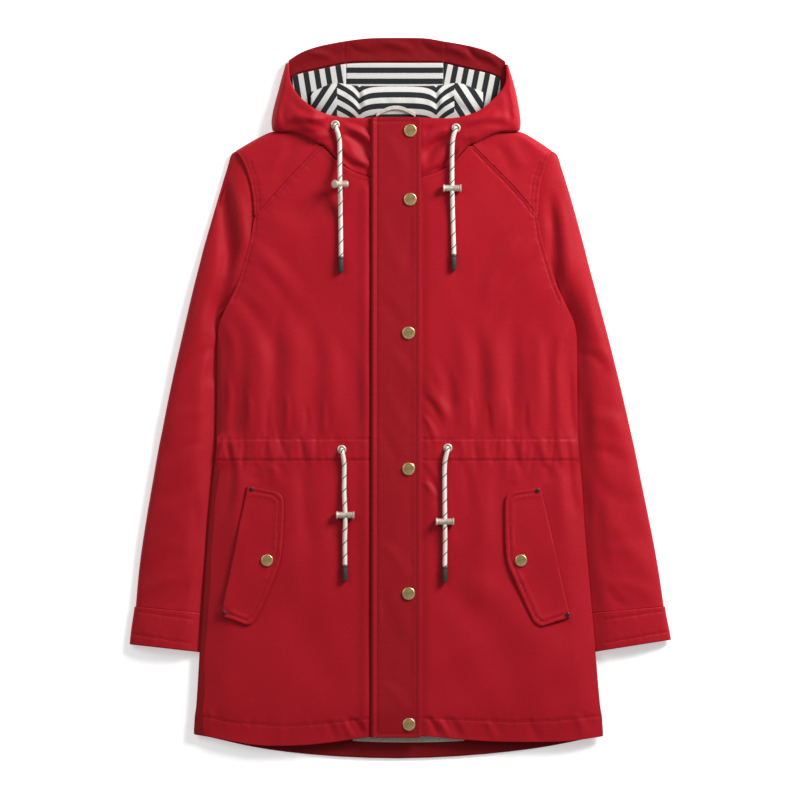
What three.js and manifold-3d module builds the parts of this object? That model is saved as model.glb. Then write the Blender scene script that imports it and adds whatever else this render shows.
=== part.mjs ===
// A hooded raincoat laid flat, face up, with its hood open. Millimetres.
// X runs to the viewer's right, Y towards the hood, Z up from the surface that it lies on.
import * as THREE from 'three';
import { mergeVertices } from 'three/addons/utils/BufferGeometryUtils.js';
import Module from 'manifold-3d';

const wasm = await Module();
wasm.setup();

// Cloth and layers
const CLOTH = 2.0;          // shell and lining together
const THIN_CLOTH = 1.5;     // one layer of lining
const SEAM_GAP = 0.3;       // between pieces that are sewn together
const BACK_LIFT = 7.2;      // the back's margin lies this high over the sleeve
const SIDE_TOP = 12.2;      // top of the front along the side fold, over the sleeve
const ARMHOLE_TOP = 14.4;   // top of the front along the armhole
const FRONT_TOP = 16.0;     // top of the fronts away from their edges
const LOW_SLEEVE = 6.4;     // the sleeve where it lies under the body
const SLEEVE_CREST = 16.0;
const FRONT_CENTRE_X = -5;  // where the fronts meet under the placket

// Fittings
const SNAP_RADIUS = 8.5;
const FLAP_SNAP_RADIUS = 8;
const EYELET_RADIUS = 6;
const CORD_RADIUS = 2.9;
const TIP_RADIUS = 3.6;
const TIP_LENGTH = 20;
const TOGGLE_LENGTH = 24;
const TOGGLE_RADIUS = 4.7;
const TOGGLE_BORE = 3.25;

// The body's side edges, a row for each height
const SIDE_EDGES = [
  { y: 103, left: -235, right: 227 },
  { y: 77, left: -238, right: 230 },
  { y: 10, left: -238, right: 230 },
  { y: -53, left: -238, right: 231 },
  { y: -86, left: -241, right: 234 },
  { y: -118, left: -246, right: 237 },
  { y: -183, left: -251, right: 241 },
  { y: -248, left: -255, right: 247 },
  { y: -313, left: -260, right: 253 },
  { y: -378, left: -263, right: 258 },
  { y: -445, left: -268, right: 264 },
];

// The armhole seams, a row for each height
const ARMHOLES = [
  { y: 323, left: -214, right: 198 },
  { y: 306, left: -202.5, right: 189.5 },
  { y: 283, left: -194.5, right: 182 },
  { y: 259, left: -190.5, right: 179 },
  { y: 237, left: -190, right: 179.5 },
  { y: 211, left: -193, right: 183 },
  { y: 182, left: -201, right: 191.5 },
  { y: 150, left: -210.5, right: 201.5 },
  { y: 125, left: -223, right: 213 },
  { y: 103, left: -235, right: 227 },
];

// The fronts' upper inner edges, sewn to the hood, a row for each height
const NECK_SEAMS = [
  { y: 281, left: -5, right: -5 },
  { y: 284.5, left: -22, right: 12 },
  { y: 288, left: -38, right: 28 },
  { y: 293, left: -58, right: 45 },
  { y: 299, left: -71, right: 58 },
  { y: 307, left: -80, right: 70 },
  { y: 314, left: -87, right: 76 },
  { y: 329, left: -100, right: 89 },
];

// The forward shoulder seams, from the armhole up to the neck
const YOKE_SEAMS = [
  { y: 237, left: -190, right: 179.5 },
  { y: 260, left: -169, right: 162 },
  { y: 285, left: -147, right: 139 },
  { y: 312, left: -121, right: 112 },
  { y: 331, left: -103, right: 94 },
];

// The hems' lower edges, a row for each place across
const HEMS = [
  { x: -268, front: -436, back: -435 },
  { x: -228, front: -443, back: -444 },
  { x: -189, front: -450, back: -455 },
  { x: -151, front: -451, back: -461 },
  { x: -111, front: -449, back: -466.5 },
  { x: -61, front: -442.5, back: -470.5 },
  { x: -38, front: -439, back: -471 },
  { x: 27, front: -438, back: -471 },
  { x: 82, front: -443, back: -468.5 },
  { x: 127, front: -445.5, back: -463.5 },
  { x: 182, front: -446, back: -454 },
  { x: 209, front: -445.5, back: -449 },
  { x: 235, front: -443, back: -443 },
  { x: 264, front: -438.5, back: -438 },
];

// The sleeves' stations from the armhole to the cuff, as heights of their inner and outer ends
const SLEEVE_STATIONS = [
  { inner: 103, outer: 321 },
  { inner: 102, outer: 312 },
  { inner: 99, outer: 288 },
  { inner: 96, outer: 258 },
  { inner: 92, outer: 224 },
  { inner: 86, outer: 190 },
  { inner: 78, outer: 154 },
  { inner: 66, outer: 118 },
  { inner: 48, outer: 80 },
  { inner: 24, outer: 42 },
  { inner: -6, outer: 6 },
  { inner: -42, outer: -32 },
  { inner: -80, outer: -71 },
  { inner: -120, outer: -111 },
  { inner: -160, outer: -151 },
  { inner: -202, outer: -192 },
  { inner: -242, outer: -232 },
  { inner: -262, outer: -253 },
  { inner: -280, outer: -270 },
];

// The sleeves' outer edges, a row for each height
const SLEEVE_EDGES = [
  { y: 323, left: -214, right: 198 },
  { y: 311, left: -221, right: 206.5 },
  { y: 291, left: -227.5, right: 213 },
  { y: 252, left: -239, right: 225 },
  { y: 194, left: -256, right: 240.5 },
  { y: 155, left: -266.5, right: 251 },
  { y: 77, left: -284.5, right: 272 },
  { y: 25, left: -296.5, right: 285 },
  { y: -53, left: -312, right: 303 },
  { y: -105, left: -321, right: 313 },
  { y: -157, left: -330, right: 324 },
  { y: -209, left: -338, right: 334 },
  { y: -270, left: -343.5, right: 343 },
];

// The cuffs' stations: seam and lower edge, as inner and outer ends on each side
const CUFF_STATIONS = [
  { leftOuterX: -345, leftOuterY: -270.6, rightOuterX: 344.5, rightOuterY: -270.6, innerY: -280.6 },
  { leftOuterX: -347.5, leftOuterY: -286, rightOuterX: 347, rightOuterY: -285, innerY: -297 },
  { leftOuterX: -350, leftOuterY: -303, rightOuterX: 350, rightOuterY: -299, innerY: -314 },
  { leftOuterX: -351.5, leftOuterY: -319, rightOuterX: 352.5, rightOuterY: -313, innerY: -331 },
];

// The hood's side panels: from the outer fold or neck seam to the opening's near rim.
// foot is the height where a section starts, crest its top, rimTop its height at the rim.
const HOOD_LEFT_SECTIONS = [
  { outX: -5.4, outY: 281.6, rimX: -5.4, rimY: 366, foot: 14.2, crest: 16, rimTop: 17 },
  { outX: -22, outY: 285.1, rimX: -22, rimY: 366, foot: 14.2, crest: 16, rimTop: 17 },
  { outX: -38, outY: 288.6, rimX: -38, rimY: 366, foot: 14.2, crest: 16, rimTop: 17 },
  { outX: -57.7, outY: 294, rimX: -53, rimY: 365.5, foot: 14.2, crest: 16.5, rimTop: 18 },
  { outX: -70, outY: 300.8, rimX: -65, rimY: 366, foot: 14.2, crest: 17, rimTop: 18.5 },
  { outX: -79.2, outY: 308.2, rimX: -75, rimY: 366.5, foot: 14.2, crest: 18, rimTop: 18.8 },
  { outX: -86.4, outY: 315.4, rimX: -84, rimY: 368, foot: 14.2, crest: 19, rimTop: 19.2 },
  { outX: -99.6, outY: 330, rimX: -94, rimY: 370, foot: 16.4, crest: 21.5, rimTop: 20 },
  { outX: -108, outY: 332, rimX: -103, rimY: 373.5, foot: 16.6, crest: 23, rimTop: 20 },
  { outX: -122, outY: 340, rimX: -110, rimY: 377, foot: 16.3, crest: 23.5, rimTop: 20 },
  { outX: -143, outY: 347.5, rimX: -118, rimY: 382.5, foot: 15.2, crest: 23, rimTop: 20 },
  { outX: -166, outY: 348.5, rimX: -126, rimY: 389, foot: 15, crest: 22, rimTop: 19 },
  { outX: -166, outY: 371, rimX: -132, rimY: 395, foot: 2, crest: 20, rimTop: 18 },
  { outX: -160, outY: 394, rimX: -138, rimY: 404, foot: 0.8, crest: 18, rimTop: 16 },
  { outX: -155, outY: 413, rimX: -143.5, rimY: 418, foot: 0.8, crest: 15, rimTop: 13.5 },
  { outX: -148.5, outY: 436.5, rimX: -144, rimY: 437, foot: 0.8, crest: 11.5, rimTop: 10 },
];
const HOOD_RIGHT_SECTIONS = [
  { outX: -4.8, outY: 281.6, rimX: -4.8, rimY: 366, foot: 14.2, crest: 16, rimTop: 17 },
  { outX: 12, outY: 285.1, rimX: 12, rimY: 366, foot: 14.2, crest: 16, rimTop: 17 },
  { outX: 28, outY: 288.6, rimX: 28, rimY: 366, foot: 14.2, crest: 16, rimTop: 17 },
  { outX: 44.8, outY: 294, rimX: 45, rimY: 365.5, foot: 14.2, crest: 16.5, rimTop: 18 },
  { outX: 57.4, outY: 300.2, rimX: 58, rimY: 365, foot: 14.2, crest: 17, rimTop: 18.5 },
  { outX: 69.4, outY: 308.2, rimX: 68, rimY: 365.5, foot: 14.2, crest: 18, rimTop: 18.8 },
  { outX: 76, outY: 315, rimX: 77, rimY: 366.5, foot: 14.2, crest: 19, rimTop: 19.2 },
  { outX: 89.4, outY: 330, rimX: 87, rimY: 369, foot: 16.4, crest: 21.5, rimTop: 20 },
  { outX: 98, outY: 332, rimX: 96, rimY: 372, foot: 16.6, crest: 23, rimTop: 20 },
  { outX: 111, outY: 339.5, rimX: 104, rimY: 376, foot: 16.3, crest: 23.5, rimTop: 20 },
  { outX: 132, outY: 347.5, rimX: 112, rimY: 381.5, foot: 15.2, crest: 23, rimTop: 20 },
  { outX: 156, outY: 348.5, rimX: 119, rimY: 388, foot: 15, crest: 22, rimTop: 19 },
  { outX: 156, outY: 371, rimX: 127, rimY: 396, foot: 2, crest: 20, rimTop: 18 },
  { outX: 152, outY: 394, rimX: 134, rimY: 405, foot: 0.8, crest: 18, rimTop: 16 },
  { outX: 148, outY: 411, rimX: 138, rimY: 416, foot: 0.8, crest: 15, rimTop: 13.5 },
  { outX: 140.5, outY: 435, rimX: 137, rimY: 435, foot: 0.8, crest: 11.5, rimTop: 10 },
];

// The hood's underside and facing across, a row for each place: far edge, facing's inner edge
const HOOD_FAR_EDGE = [
  { x: -156, far: 412, band: 405 },
  { x: -150, far: 432, band: 414 },
  { x: -143, far: 442, band: 420 },
  { x: -131, far: 450, band: 425 },
  { x: -112, far: 457.5, band: 429 },
  { x: -92, far: 462, band: 433.5 },
  { x: -70, far: 466, band: 438 },
  { x: -41, far: 469.5, band: 439 },
  { x: -3, far: 470, band: 439 },
  { x: 35, far: 469.5, band: 439 },
  { x: 56, far: 465.5, band: 439 },
  { x: 81, far: 461.5, band: 432.5 },
  { x: 105, far: 456, band: 428 },
  { x: 121, far: 450, band: 423.5 },
  { x: 135, far: 440.5, band: 416.5 },
  { x: 142, far: 433, band: 408 },
  { x: 148, far: 414, band: 400 },
];

// Folds and gathers raised on the fronts: a line, its half width and its height
const FRONT_FOLDS = [
  { x0: -212, y0: 60, x1: -220, y1: -40, width: 9, height: 1.6 },
  { x0: -185, y0: 90, x1: -190, y1: -42, width: 11, height: 1.9 },
  { x0: -158, y0: 40, x1: -160, y1: -44, width: 9, height: 1.5 },
  { x0: -128, y0: 75, x1: -132, y1: -44, width: 10, height: 1.6 },
  { x0: -102, y0: 20, x1: -104, y1: -46, width: 8, height: 1.2 },
  { x0: -206, y0: -95, x1: -214, y1: -190, width: 11, height: 1.5 },
  { x0: -150, y0: -92, x1: -136, y1: -250, width: 12, height: 1.7 },
  { x0: -112, y0: -90, x1: -98, y1: -300, width: 12, height: 1.4 },
  { x0: -212, y0: 185, x1: -150, y1: 120, width: 12, height: 1.3 },
  { x0: 96, y0: 60, x1: 100, y1: -44, width: 10, height: 1.3 },
  { x0: 128, y0: 85, x1: 132, y1: -44, width: 10, height: 1.7 },
  { x0: 160, y0: 50, x1: 158, y1: -42, width: 9, height: 1.5 },
  { x0: 186, y0: 90, x1: 184, y1: -42, width: 11, height: 1.8 },
  { x0: 211, y0: 40, x1: 212, y1: -40, width: 8, height: 1.4 },
  { x0: 112, y0: -92, x1: 100, y1: -280, width: 13, height: 1.6 },
  { x0: 205, y0: -92, x1: 213, y1: -210, width: 11, height: 1.5 },
  { x0: 205, y0: 190, x1: 140, y1: 115, width: 12, height: 1.3 },
];

// Valleys and ridges along the sleeves
const SLEEVE_FOLDS = [
  { x0: -218, y0: 300, x1: -212, y1: 170, width: 9, height: -2.2 },
  { x0: -240, y0: 210, x1: -262, y1: 60, width: 12, height: 1.2 },
  { x0: -246, y0: 80, x1: -276, y1: 30, width: 8, height: -1.4 },
  { x0: -262, y0: -20, x1: -300, y1: -40, width: 10, height: 1.0 },
  { x0: -268, y0: -110, x1: -312, y1: -120, width: 10, height: -1.0 },
  { x0: -280, y0: -180, x1: -320, y1: -215, width: 11, height: 1.0 },
  { x0: 206, y0: 300, x1: 202, y1: 180, width: 9, height: -2.2 },
  { x0: 228, y0: 210, x1: 250, y1: 60, width: 12, height: 1.2 },
  { x0: 238, y0: 80, x1: 268, y1: 30, width: 8, height: -1.4 },
  { x0: 256, y0: -20, x1: 292, y1: -45, width: 10, height: 1.0 },
  { x0: 262, y0: -110, x1: 306, y1: -125, width: 10, height: -1.0 },
  { x0: 274, y0: -180, x1: 316, y1: -215, width: 11, height: 1.0 },
];

// Gathers across the drawn waist
const WAIST = { y: -66, reach: 17, height: 1.1, from: 0.34, full: 0.45 };

const clamp = (value, low, high) => Math.min(Math.max(value, low), high);
const mix = (a, b, t) => a + (b - a) * t;

function smooth(low, high, value) {
  const t = clamp((value - low) / (high - low), 0, 1);
  return t * t * (3 - 2 * t);
}

// A smooth reading of one column of a table, by the values of another column
function read(table, key, column, at) {
  const rows = table[0][key] < table[table.length - 1][key] ? table : [...table].reverse();
  const place = clamp(at, rows[0][key], rows[rows.length - 1][key]);
  let i = 0;
  while (i < rows.length - 2 && rows[i + 1][key] < place) i += 1;
  const slope = (n) => {
    const a = rows[Math.max(n - 1, 0)];
    const b = rows[Math.min(n + 1, rows.length - 1)];
    return (b[column] - a[column]) / (b[key] - a[key]);
  };
  const span = rows[i + 1][key] - rows[i][key];
  const t = (place - rows[i][key]) / span;
  const start = rows[i][column];
  const end = rows[i + 1][column];
  const startPull = slope(i) * span * t * (1 - t) * (1 - t);
  const endPull = slope(i + 1) * span * t * t * (1 - t);
  return mix(start, end, t * t * (3 - 2 * t)) + startPull - endPull;
}

// A smooth reading of one column of a table of stations, along t from 0 to 1
function along(table, column, t) {
  const rows = table.map((row, i) => ({ at: i, value: row[column] }));
  return read(rows, 'at', 'value', t * (table.length - 1));
}

const range = (count) => Array.from({ length: count }, (_, i) => i);

// Evenly spaced values from one end to the other, both ends included
const steps = (count, from = 0, to = 1) => range(count + 1).map((i) => mix(from, to, i / count));

// The height of the folds in a table at one place
function relief(folds, x, y) {
  let total = 0;
  for (const fold of folds) {
    const dx = fold.x1 - fold.x0;
    const dy = fold.y1 - fold.y0;
    const t = ((x - fold.x0) * dx + (y - fold.y0) * dy) / (dx * dx + dy * dy);
    const near = clamp(t, 0, 1);
    const away = Math.hypot(x - fold.x0 - near * dx, y - fold.y0 - near * dy);
    const fade = smooth(0, 0.2, near) * smooth(0, 0.2, 1 - near);
    total += fold.height * fade * Math.exp(-((away / fold.width) ** 2));
  }
  return total;
}

// Solids from points

function flatten(points) {
  return points.flatMap((p) => [p.x, p.y, p.z]);
}

function signedVolume(points, faces) {
  let volume = 0;
  for (const [a, b, c] of faces) {
    volume += points[a].dot(new THREE.Vector3().crossVectors(points[b], points[c])) / 6;
  }
  return volume;
}

function solid(points, faces) {
  const outward = signedVolume(points, faces) > 0;
  const geometry = new THREE.BufferGeometry();
  geometry.setAttribute('position', new THREE.Float32BufferAttribute(flatten(points), 3));
  geometry.setIndex(faces.flatMap(([a, b, c]) => (outward ? [a, b, c] : [a, c, b])));
  geometry.computeVertexNormals();
  return geometry;
}

function gridFaces(faces, rows, columns, index, turned) {
  for (let i = 0; i < rows; i += 1) {
    for (let j = 0; j < columns; j += 1) {
      const a = index(i, j);
      const b = index(i, j + 1);
      const c = index(i + 1, j + 1);
      const d = index(i + 1, j);
      if (turned) {
        faces.push([a, c, b], [a, d, c]);
      } else {
        faces.push([a, b, c], [a, c, d]);
      }
    }
  }
}

// Joins a fine edge to one that has as many points, or a point for every second fine one
function stitch(faces, fine, coarse, turned) {
  const halved = fine.length > coarse.length;
  for (let k = 0; k < coarse.length; k += 1) {
    const near = coarse[k];
    const next = coarse[(k + 1) % coarse.length];
    const first = fine[halved ? 2 * k : k];
    const last = fine[(halved ? 2 * k + 2 : k + 1) % fine.length];
    const middle = halved ? fine[2 * k + 1] : last;
    const made = [[middle, first, near], [middle, near, next]];
    if (halved) made.push([last, middle, next]);
    faces.push(...(turned ? made.map(([a, b, c]) => [a, c, b]) : made));
  }
}

function edgeLoop(rows, columns, index) {
  const loop = [];
  for (let j = 0; j < columns; j += 1) loop.push(index(0, j));
  for (let i = 0; i < rows; i += 1) loop.push(index(i, columns));
  for (let j = columns; j > 0; j -= 1) loop.push(index(rows, j));
  for (let i = rows; i > 0; i -= 1) loop.push(index(i, 0));
  return loop;
}

// A wall of cloth: outer points on every row and column, and plainer inner points, on every
// second one where the step is 2. The inner points lie one thickness behind the base surface,
// which leaves the fine folds out.
function wall(rowValues, columnValues, surface, thickness, base = surface, step = 2) {
  if ((rowValues.length - 1) % step || (columnValues.length - 1) % step) {
    throw new Error(`rows ${rowValues.length} columns ${columnValues.length}`);
  }
  const rows = rowValues.length - 1;
  const columns = columnValues.length - 1;
  const outer = rowValues.map((v) => columnValues.map((u) => surface(v, u)));
  const plain = rowValues.map((v) => columnValues.map((u) => base(v, u)));
  const points = outer.flat();
  const fine = (i, j) => i * (columns + 1) + j;
  const start = points.length;
  const coarse = (i, j) => start + i * (columns / step + 1) + j;
  for (let i = 0; i <= rows; i += step) {
    for (let j = 0; j <= columns; j += step) {
      const across = new THREE.Vector3().subVectors(
        plain[i][Math.min(j + 1, columns)], plain[i][Math.max(j - 1, 0)]);
      const up = new THREE.Vector3().subVectors(
        plain[Math.min(i + 1, rows)][j], plain[Math.max(i - 1, 0)][j]);
      const normal = new THREE.Vector3().crossVectors(across, up).normalize();
      if (normal.z < 0) normal.negate();
      points.push(plain[i][j].clone().addScaledVector(normal, -thickness));
    }
  }
  const faces = [];
  gridFaces(faces, rows, columns, fine, false);
  gridFaces(faces, rows / step, columns / step, coarse, true);
  const inner = edgeLoop(rows / step, columns / step, coarse);
  stitch(faces, edgeLoop(rows, columns, fine), inner, false);
  return solid(points, faces);
}

// An open tube of cloth from closed rings, with half as many inner rings and inner points
function tubeWall(rings, outerPoint, innerPoint, around) {
  const count = rings.length - 1;
  const points = rings.flatMap((ring) => range(around).map((k) => outerPoint(ring, k)));
  const fine = (i, k) => i * around + (k % around);
  const start = points.length;
  const half = around / 2;
  for (let i = 0; i <= count; i += 2) {
    for (let k = 0; k < half; k += 1) points.push(innerPoint(rings[i], 2 * k));
  }
  const coarse = (i, k) => start + i * half + (k % half);
  const faces = [];
  gridFaces(faces, count, around, fine, false);
  gridFaces(faces, count / 2, half, coarse, true);
  const ringOf = (index, i, size) => range(size).map((k) => index(i, k));
  stitch(faces, ringOf(fine, 0, around), ringOf(coarse, 0, half), false);
  stitch(faces, ringOf(fine, count, around), ringOf(coarse, count / 2, half), true);
  return solid(points, faces);
}

// The heights of the layers

const sideEdge = (side, y) => read(SIDE_EDGES, 'y', side, y);
const armhole = (side, y) => read(ARMHOLES, 'y', side, y);
const sideSign = (side) => (side === 'left' ? -1 : 1);

// How far the back's margin is lifted towards the front below the armhole, from 0 to 1
const sideLift = (y) => 1 - smooth(108, 122, y);

// How far the sleeve's inner part reaches under the body
const tuck = (y) => mix(16, 3, smooth(-260, 103, y));

// The front's outer edge at one height: side seam, armhole, then the forward shoulder seam
function frontOuterX(side, y) {
  if (y <= 103) return sideEdge(side, y);
  if (y <= 237) return armhole(side, y);
  return read(YOKE_SEAMS, 'y', side, y);
}

// The fronts and placket come down towards the hem
const HEM_DROP = 3;
const HEM_START = -400;

function hemDrop(x, y) {
  const foot = read(HEMS, 'x', 'front', x);
  return HEM_DROP * (1 - smooth(0, 1, (y - foot) / (HEM_START - foot)));
}

function frontBase(x, y) {
  const side = x < FRONT_CENTRE_X ? 'left' : 'right';
  const outer = y <= 103 ? sideEdge(side, y) : armhole(side, y);
  const inward = Math.max((outer - x) * sideSign(side), 0);
  const edgeTop = mix(SIDE_TOP, ARMHOLE_TOP, smooth(84, 125, y));
  return mix(FRONT_TOP - hemDrop(x, y), edgeTop, Math.exp(-inward / 13));
}

// Gathers stand beside the waist cords and fade above and below the casing
function gathers(u, y) {
  const fade = Math.exp(-(((y - WAIST.y) / WAIST.reach) ** 2));
  const beside = smooth(WAIST.from, WAIST.full, u) * smooth(1, 0.96, u);
  const { from, to, count } = FRONT_COLUMNS;
  const wave = Math.cos((Math.PI * count * (u - from)) / (to - from));
  const uneven = 0.75 + 0.25 * Math.sin(u * 31);
  return WAIST.height * fade * beside * uneven * wave;
}

function frontTop(x, y) {
  const middle = smooth(52, 80, Math.abs(x - FRONT_CENTRE_X));
  const side = x < FRONT_CENTRE_X ? 'left' : 'right';
  const inward = (frontOuterX(side, y) - x) * sideSign(side);
  const edge = smooth(0, 12, inward);
  return frontBase(x, y) + middle * edge * relief(FRONT_FOLDS, x, y);
}

// The fronts

const FRONT_ROWS = [
  HEM_START, -367, -334, -300, -255, -210, -165, -125, -100, -86, -76, -66, -56, -46, -32, 0, 40,
  80, 103, 125, 150, 182, 211, 237, 260, 281, 284.5, 288, 293, 299, 307, 314, 329,
];
const HEM_ROWS = [0, 0.08, 0.35, 0.68];
const FRONT_COLUMNS = { from: 0.13, to: 0.95, count: 18 };

function frontPoint(side, height, gathered) {
  const sign = sideSign(side);
  return (v, u) => {
    const isHem = v < HEM_ROWS.length;
    const y = isHem ? HEM_START : FRONT_ROWS[v - HEM_ROWS.length];
    const inner = y < NECK_SEAMS[0].y
      ? FRONT_CENTRE_X + (sign * SEAM_GAP) / 2
      : read(NECK_SEAMS, 'y', side, y) + (sign * SEAM_GAP) / 2;
    const level = isHem ? -435 : y;
    const outer = frontOuterX(side, level) - (y > 230 ? (sign * SEAM_GAP) / 2 : 0);
    const x = mix(inner, outer, u);
    const placed = isHem ? mix(read(HEMS, 'x', 'front', x), HEM_START, HEM_ROWS[v]) : y;
    const gather = gathered ? gathers(u, placed) : 0;
    return new THREE.Vector3(x, placed, height(x, placed) + gather);
  };
}

function makeFront(side) {
  const { from, to, count } = FRONT_COLUMNS;
  const columns = [0, 0.035, 0.08, ...steps(count, from, to), 0.975, 0.99, 1];
  const rows = range(HEM_ROWS.length + FRONT_ROWS.length);
  const surface = frontPoint(side, frontTop, true);
  return wall(rows, columns, surface, CLOTH, frontPoint(side, frontBase, false));
}

// The back, flat on the surface, with its margins lifted over the sleeves below the armholes

const BACK_MARGIN = 8.5;
const BACK_TOP_Y = 352;
const BACK_FOOT = -472;
const BACK_THICKNESS = 2.4;

function backEdgeX(side, y) {
  if (y <= 90) return sideEdge(side, y);
  const inset = armhole(side, clamp(y, 103, 323)) - sideSign(side) * BACK_MARGIN;
  const shoulder = side === 'left' ? -212 : 197;
  const neck = side === 'left' ? -160 : 150;
  const sloped = mix(shoulder, neck, clamp((y - 318) / 32, 0, 1)) - sideSign(side) * BACK_MARGIN;
  const upper = y < 306 ? inset : sloped;
  return mix(sideEdge(side, y), upper, smooth(90, 104, y));
}

function backPoint(y, u) {
  const left = backEdgeX('left', y);
  const right = backEdgeX('right', y);
  const x = mix(left, right, u);
  const fromEdge = Math.min(x - left, right - x);
  const reach = tuck(y);
  const lift = BACK_LIFT * sideLift(y) * (1 - smooth(reach + 5, reach + 20, fromEdge));
  const hem = read(HEMS, 'x', 'back', x);
  const placed = y < HEM_START ? mix(hem, HEM_START, (y - BACK_FOOT) / (HEM_START - BACK_FOOT)) : y;
  return new THREE.Vector3(x, placed, lift + BACK_THICKNESS);
}

function makeBack() {
  const rows = [
    BACK_FOOT, -462, -432, HEM_START, -334, -262, -155, -66, 20, 76, 90, 96, 104, 110, 116, 126,
    160, 211, 260, 300, 322, 337, BACK_TOP_Y,
  ];
  const margin = [0, 0.014, 0.03, 0.046, 0.062, 0.08];
  const columns = [...margin, 0.2, 0.5, 0.8, ...margin.map((u) => 1 - u).reverse()];
  return wall(rows, columns, backPoint, BACK_THICKNESS, backPoint, 1);
}

// The yokes, wrapped down over the shoulder fold

// The shoulder fold from the neck to the sleeve: its line, and how far in it starts to turn down
const SHOULDER_FOLD = [
  { u: 0, left: -107, right: 97, y: 350, round: 6 },
  { u: 0.3, left: -144, right: 134, y: 350, round: 6 },
  { u: 0.55, left: -167, right: 157, y: 347.5, round: 7 },
  { u: 0.8, left: -191.5, right: 178.5, y: 335.5, round: 9 },
  { u: 1, left: -213.5, right: 197.5, y: 322.5, round: 13 },
];
const YOKE_TOP = 14.2;
const YOKE_FALL = 10.4;
const YOKE_FLAT_ROWS = 0.7;   // the share of the rows before the turn

function yokePoint(side) {
  const sign = sideSign(side);
  const straight = (v, u) => {
    const fold = (column) => read(SHOULDER_FOLD, 'u', column, u);
    const lowY = mix(330.5, 237.6, u);
    const low = new THREE.Vector2(read(YOKE_SEAMS, 'y', side, lowY) + sign * 0.8, lowY);
    const high = new THREE.Vector2(fold(side), fold('y'));
    const level = 1 - fold('round') / low.distanceTo(high);
    const turn = (clamp((v - YOKE_FLAT_ROWS) / (1 - YOKE_FLAT_ROWS), 0, 1) * Math.PI) / 2;
    const share = v > YOKE_FLAT_ROWS
      ? mix(level, 1, Math.sin(turn))
      : level * (v / YOKE_FLAT_ROWS);
    const rise = mix(frontBase(low.x, low.y), YOKE_TOP, smooth(0, 0.4, v));
    const place = low.lerp(high, share);
    return new THREE.Vector3(place.x, place.y, rise - YOKE_FALL * (1 - Math.cos(turn)));
  };
  return (v, u) => {
    const point = straight(v, u);
    const end = straight(v, 1);
    const bow = armhole(side, clamp(end.y, 237, 323)) - end.x;
    point.x += bow * smooth(0.4, 1, u);
    return point;
  };
}

function makeYoke(side) {
  const rows = [0, 0.2, 0.4, 0.57, YOKE_FLAT_ROWS, 0.775, 0.85, 0.925, 1];
  return wall(rows, steps(10), yokePoint(side), CLOTH);
}

// The sleeves and cuffs, flattened tubes

const TOP_STEPS = 14;
const UNDER_STEPS = 6;
const AROUND = TOP_STEPS + UNDER_STEPS;

// Distances from a ring's inner end, closer together where the cloth turns
function topPlaces(ring) {
  const low = ring.tuck + 2.5;
  const rest = steps(TOP_STEPS - 4).slice(1);
  const placed = rest.map((t) => mix(low, ring.width, Math.sin((t * Math.PI) / 2)));
  return [0, 0.8, 2.6, low * 0.6 + 1.2, low, ...placed];
}

const underPlaces = (ring) => [1, 0.96, 0.8, 0.5, 0.2, 0.04].map((share) => share * ring.width);

// The sleeve keeps under the body's margin below the armpit and under the front along the armhole
function sleeveCap(x, y, side, inset) {
  const sign = sideSign(side);
  const late = 2.5 * inset;
  const besideBody = (x - sideEdge(side, y)) * sign - late;
  const besideArm = (x - armhole(side, y)) * sign - late;
  const body = mix(LOW_SLEEVE, SLEEVE_CREST, smooth(0.8, 20, besideBody));
  const arm = mix(ARMHOLE_TOP - CLOTH - 0.5, SLEEVE_CREST, smooth(2.5, 13, besideArm));
  return mix(body, y > 321 ? SLEEVE_CREST : arm, smooth(95, 150, y));
}

function shellRing(ring, k, inset) {
  const top = k <= TOP_STEPS;
  const fromInner = top ? topPlaces(ring)[k] : underPlaces(ring)[k - TOP_STEPS];
  const u = fromInner / ring.width;
  const place = ring.point(u, inset);
  const middle = mix(3.3, 4.6, u);
  if (k === 0 || k === TOP_STEPS) return new THREE.Vector3(place.x, place.y, middle);
  if (!top) return new THREE.Vector3(place.x, place.y, inset);
  const dome = (1 - Math.abs(2 * u - 1) ** 2.4) ** (1 / 2.4);
  const full = middle + (ring.crest - middle) * dome;
  const fold = relief(SLEEVE_FOLDS, place.x, place.y) * (1 - u ** 6) * ring.relief;
  const pressed = full + (inset ? Math.min(fold, 0) : fold);
  const capped = Math.min(pressed, sleeveCap(place.x, place.y, ring.side, inset));
  return new THREE.Vector3(place.x, place.y, Math.max(capped - inset, inset + 0.6));
}

const SLEEVE_RINGS = [
  0, 0.022, 0.055, 0.1, 0.15, 0.2, 0.25, 0.3, 0.35, 0.4, 0.45, 0.5, 0.56, 0.62, 0.68, 0.74, 0.8, 0.86,
  0.91, 0.96, 1,
];

// How many times the wall's thickness the inner points keep in from the edge near the armpit
const ARMPIT = 18;

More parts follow.
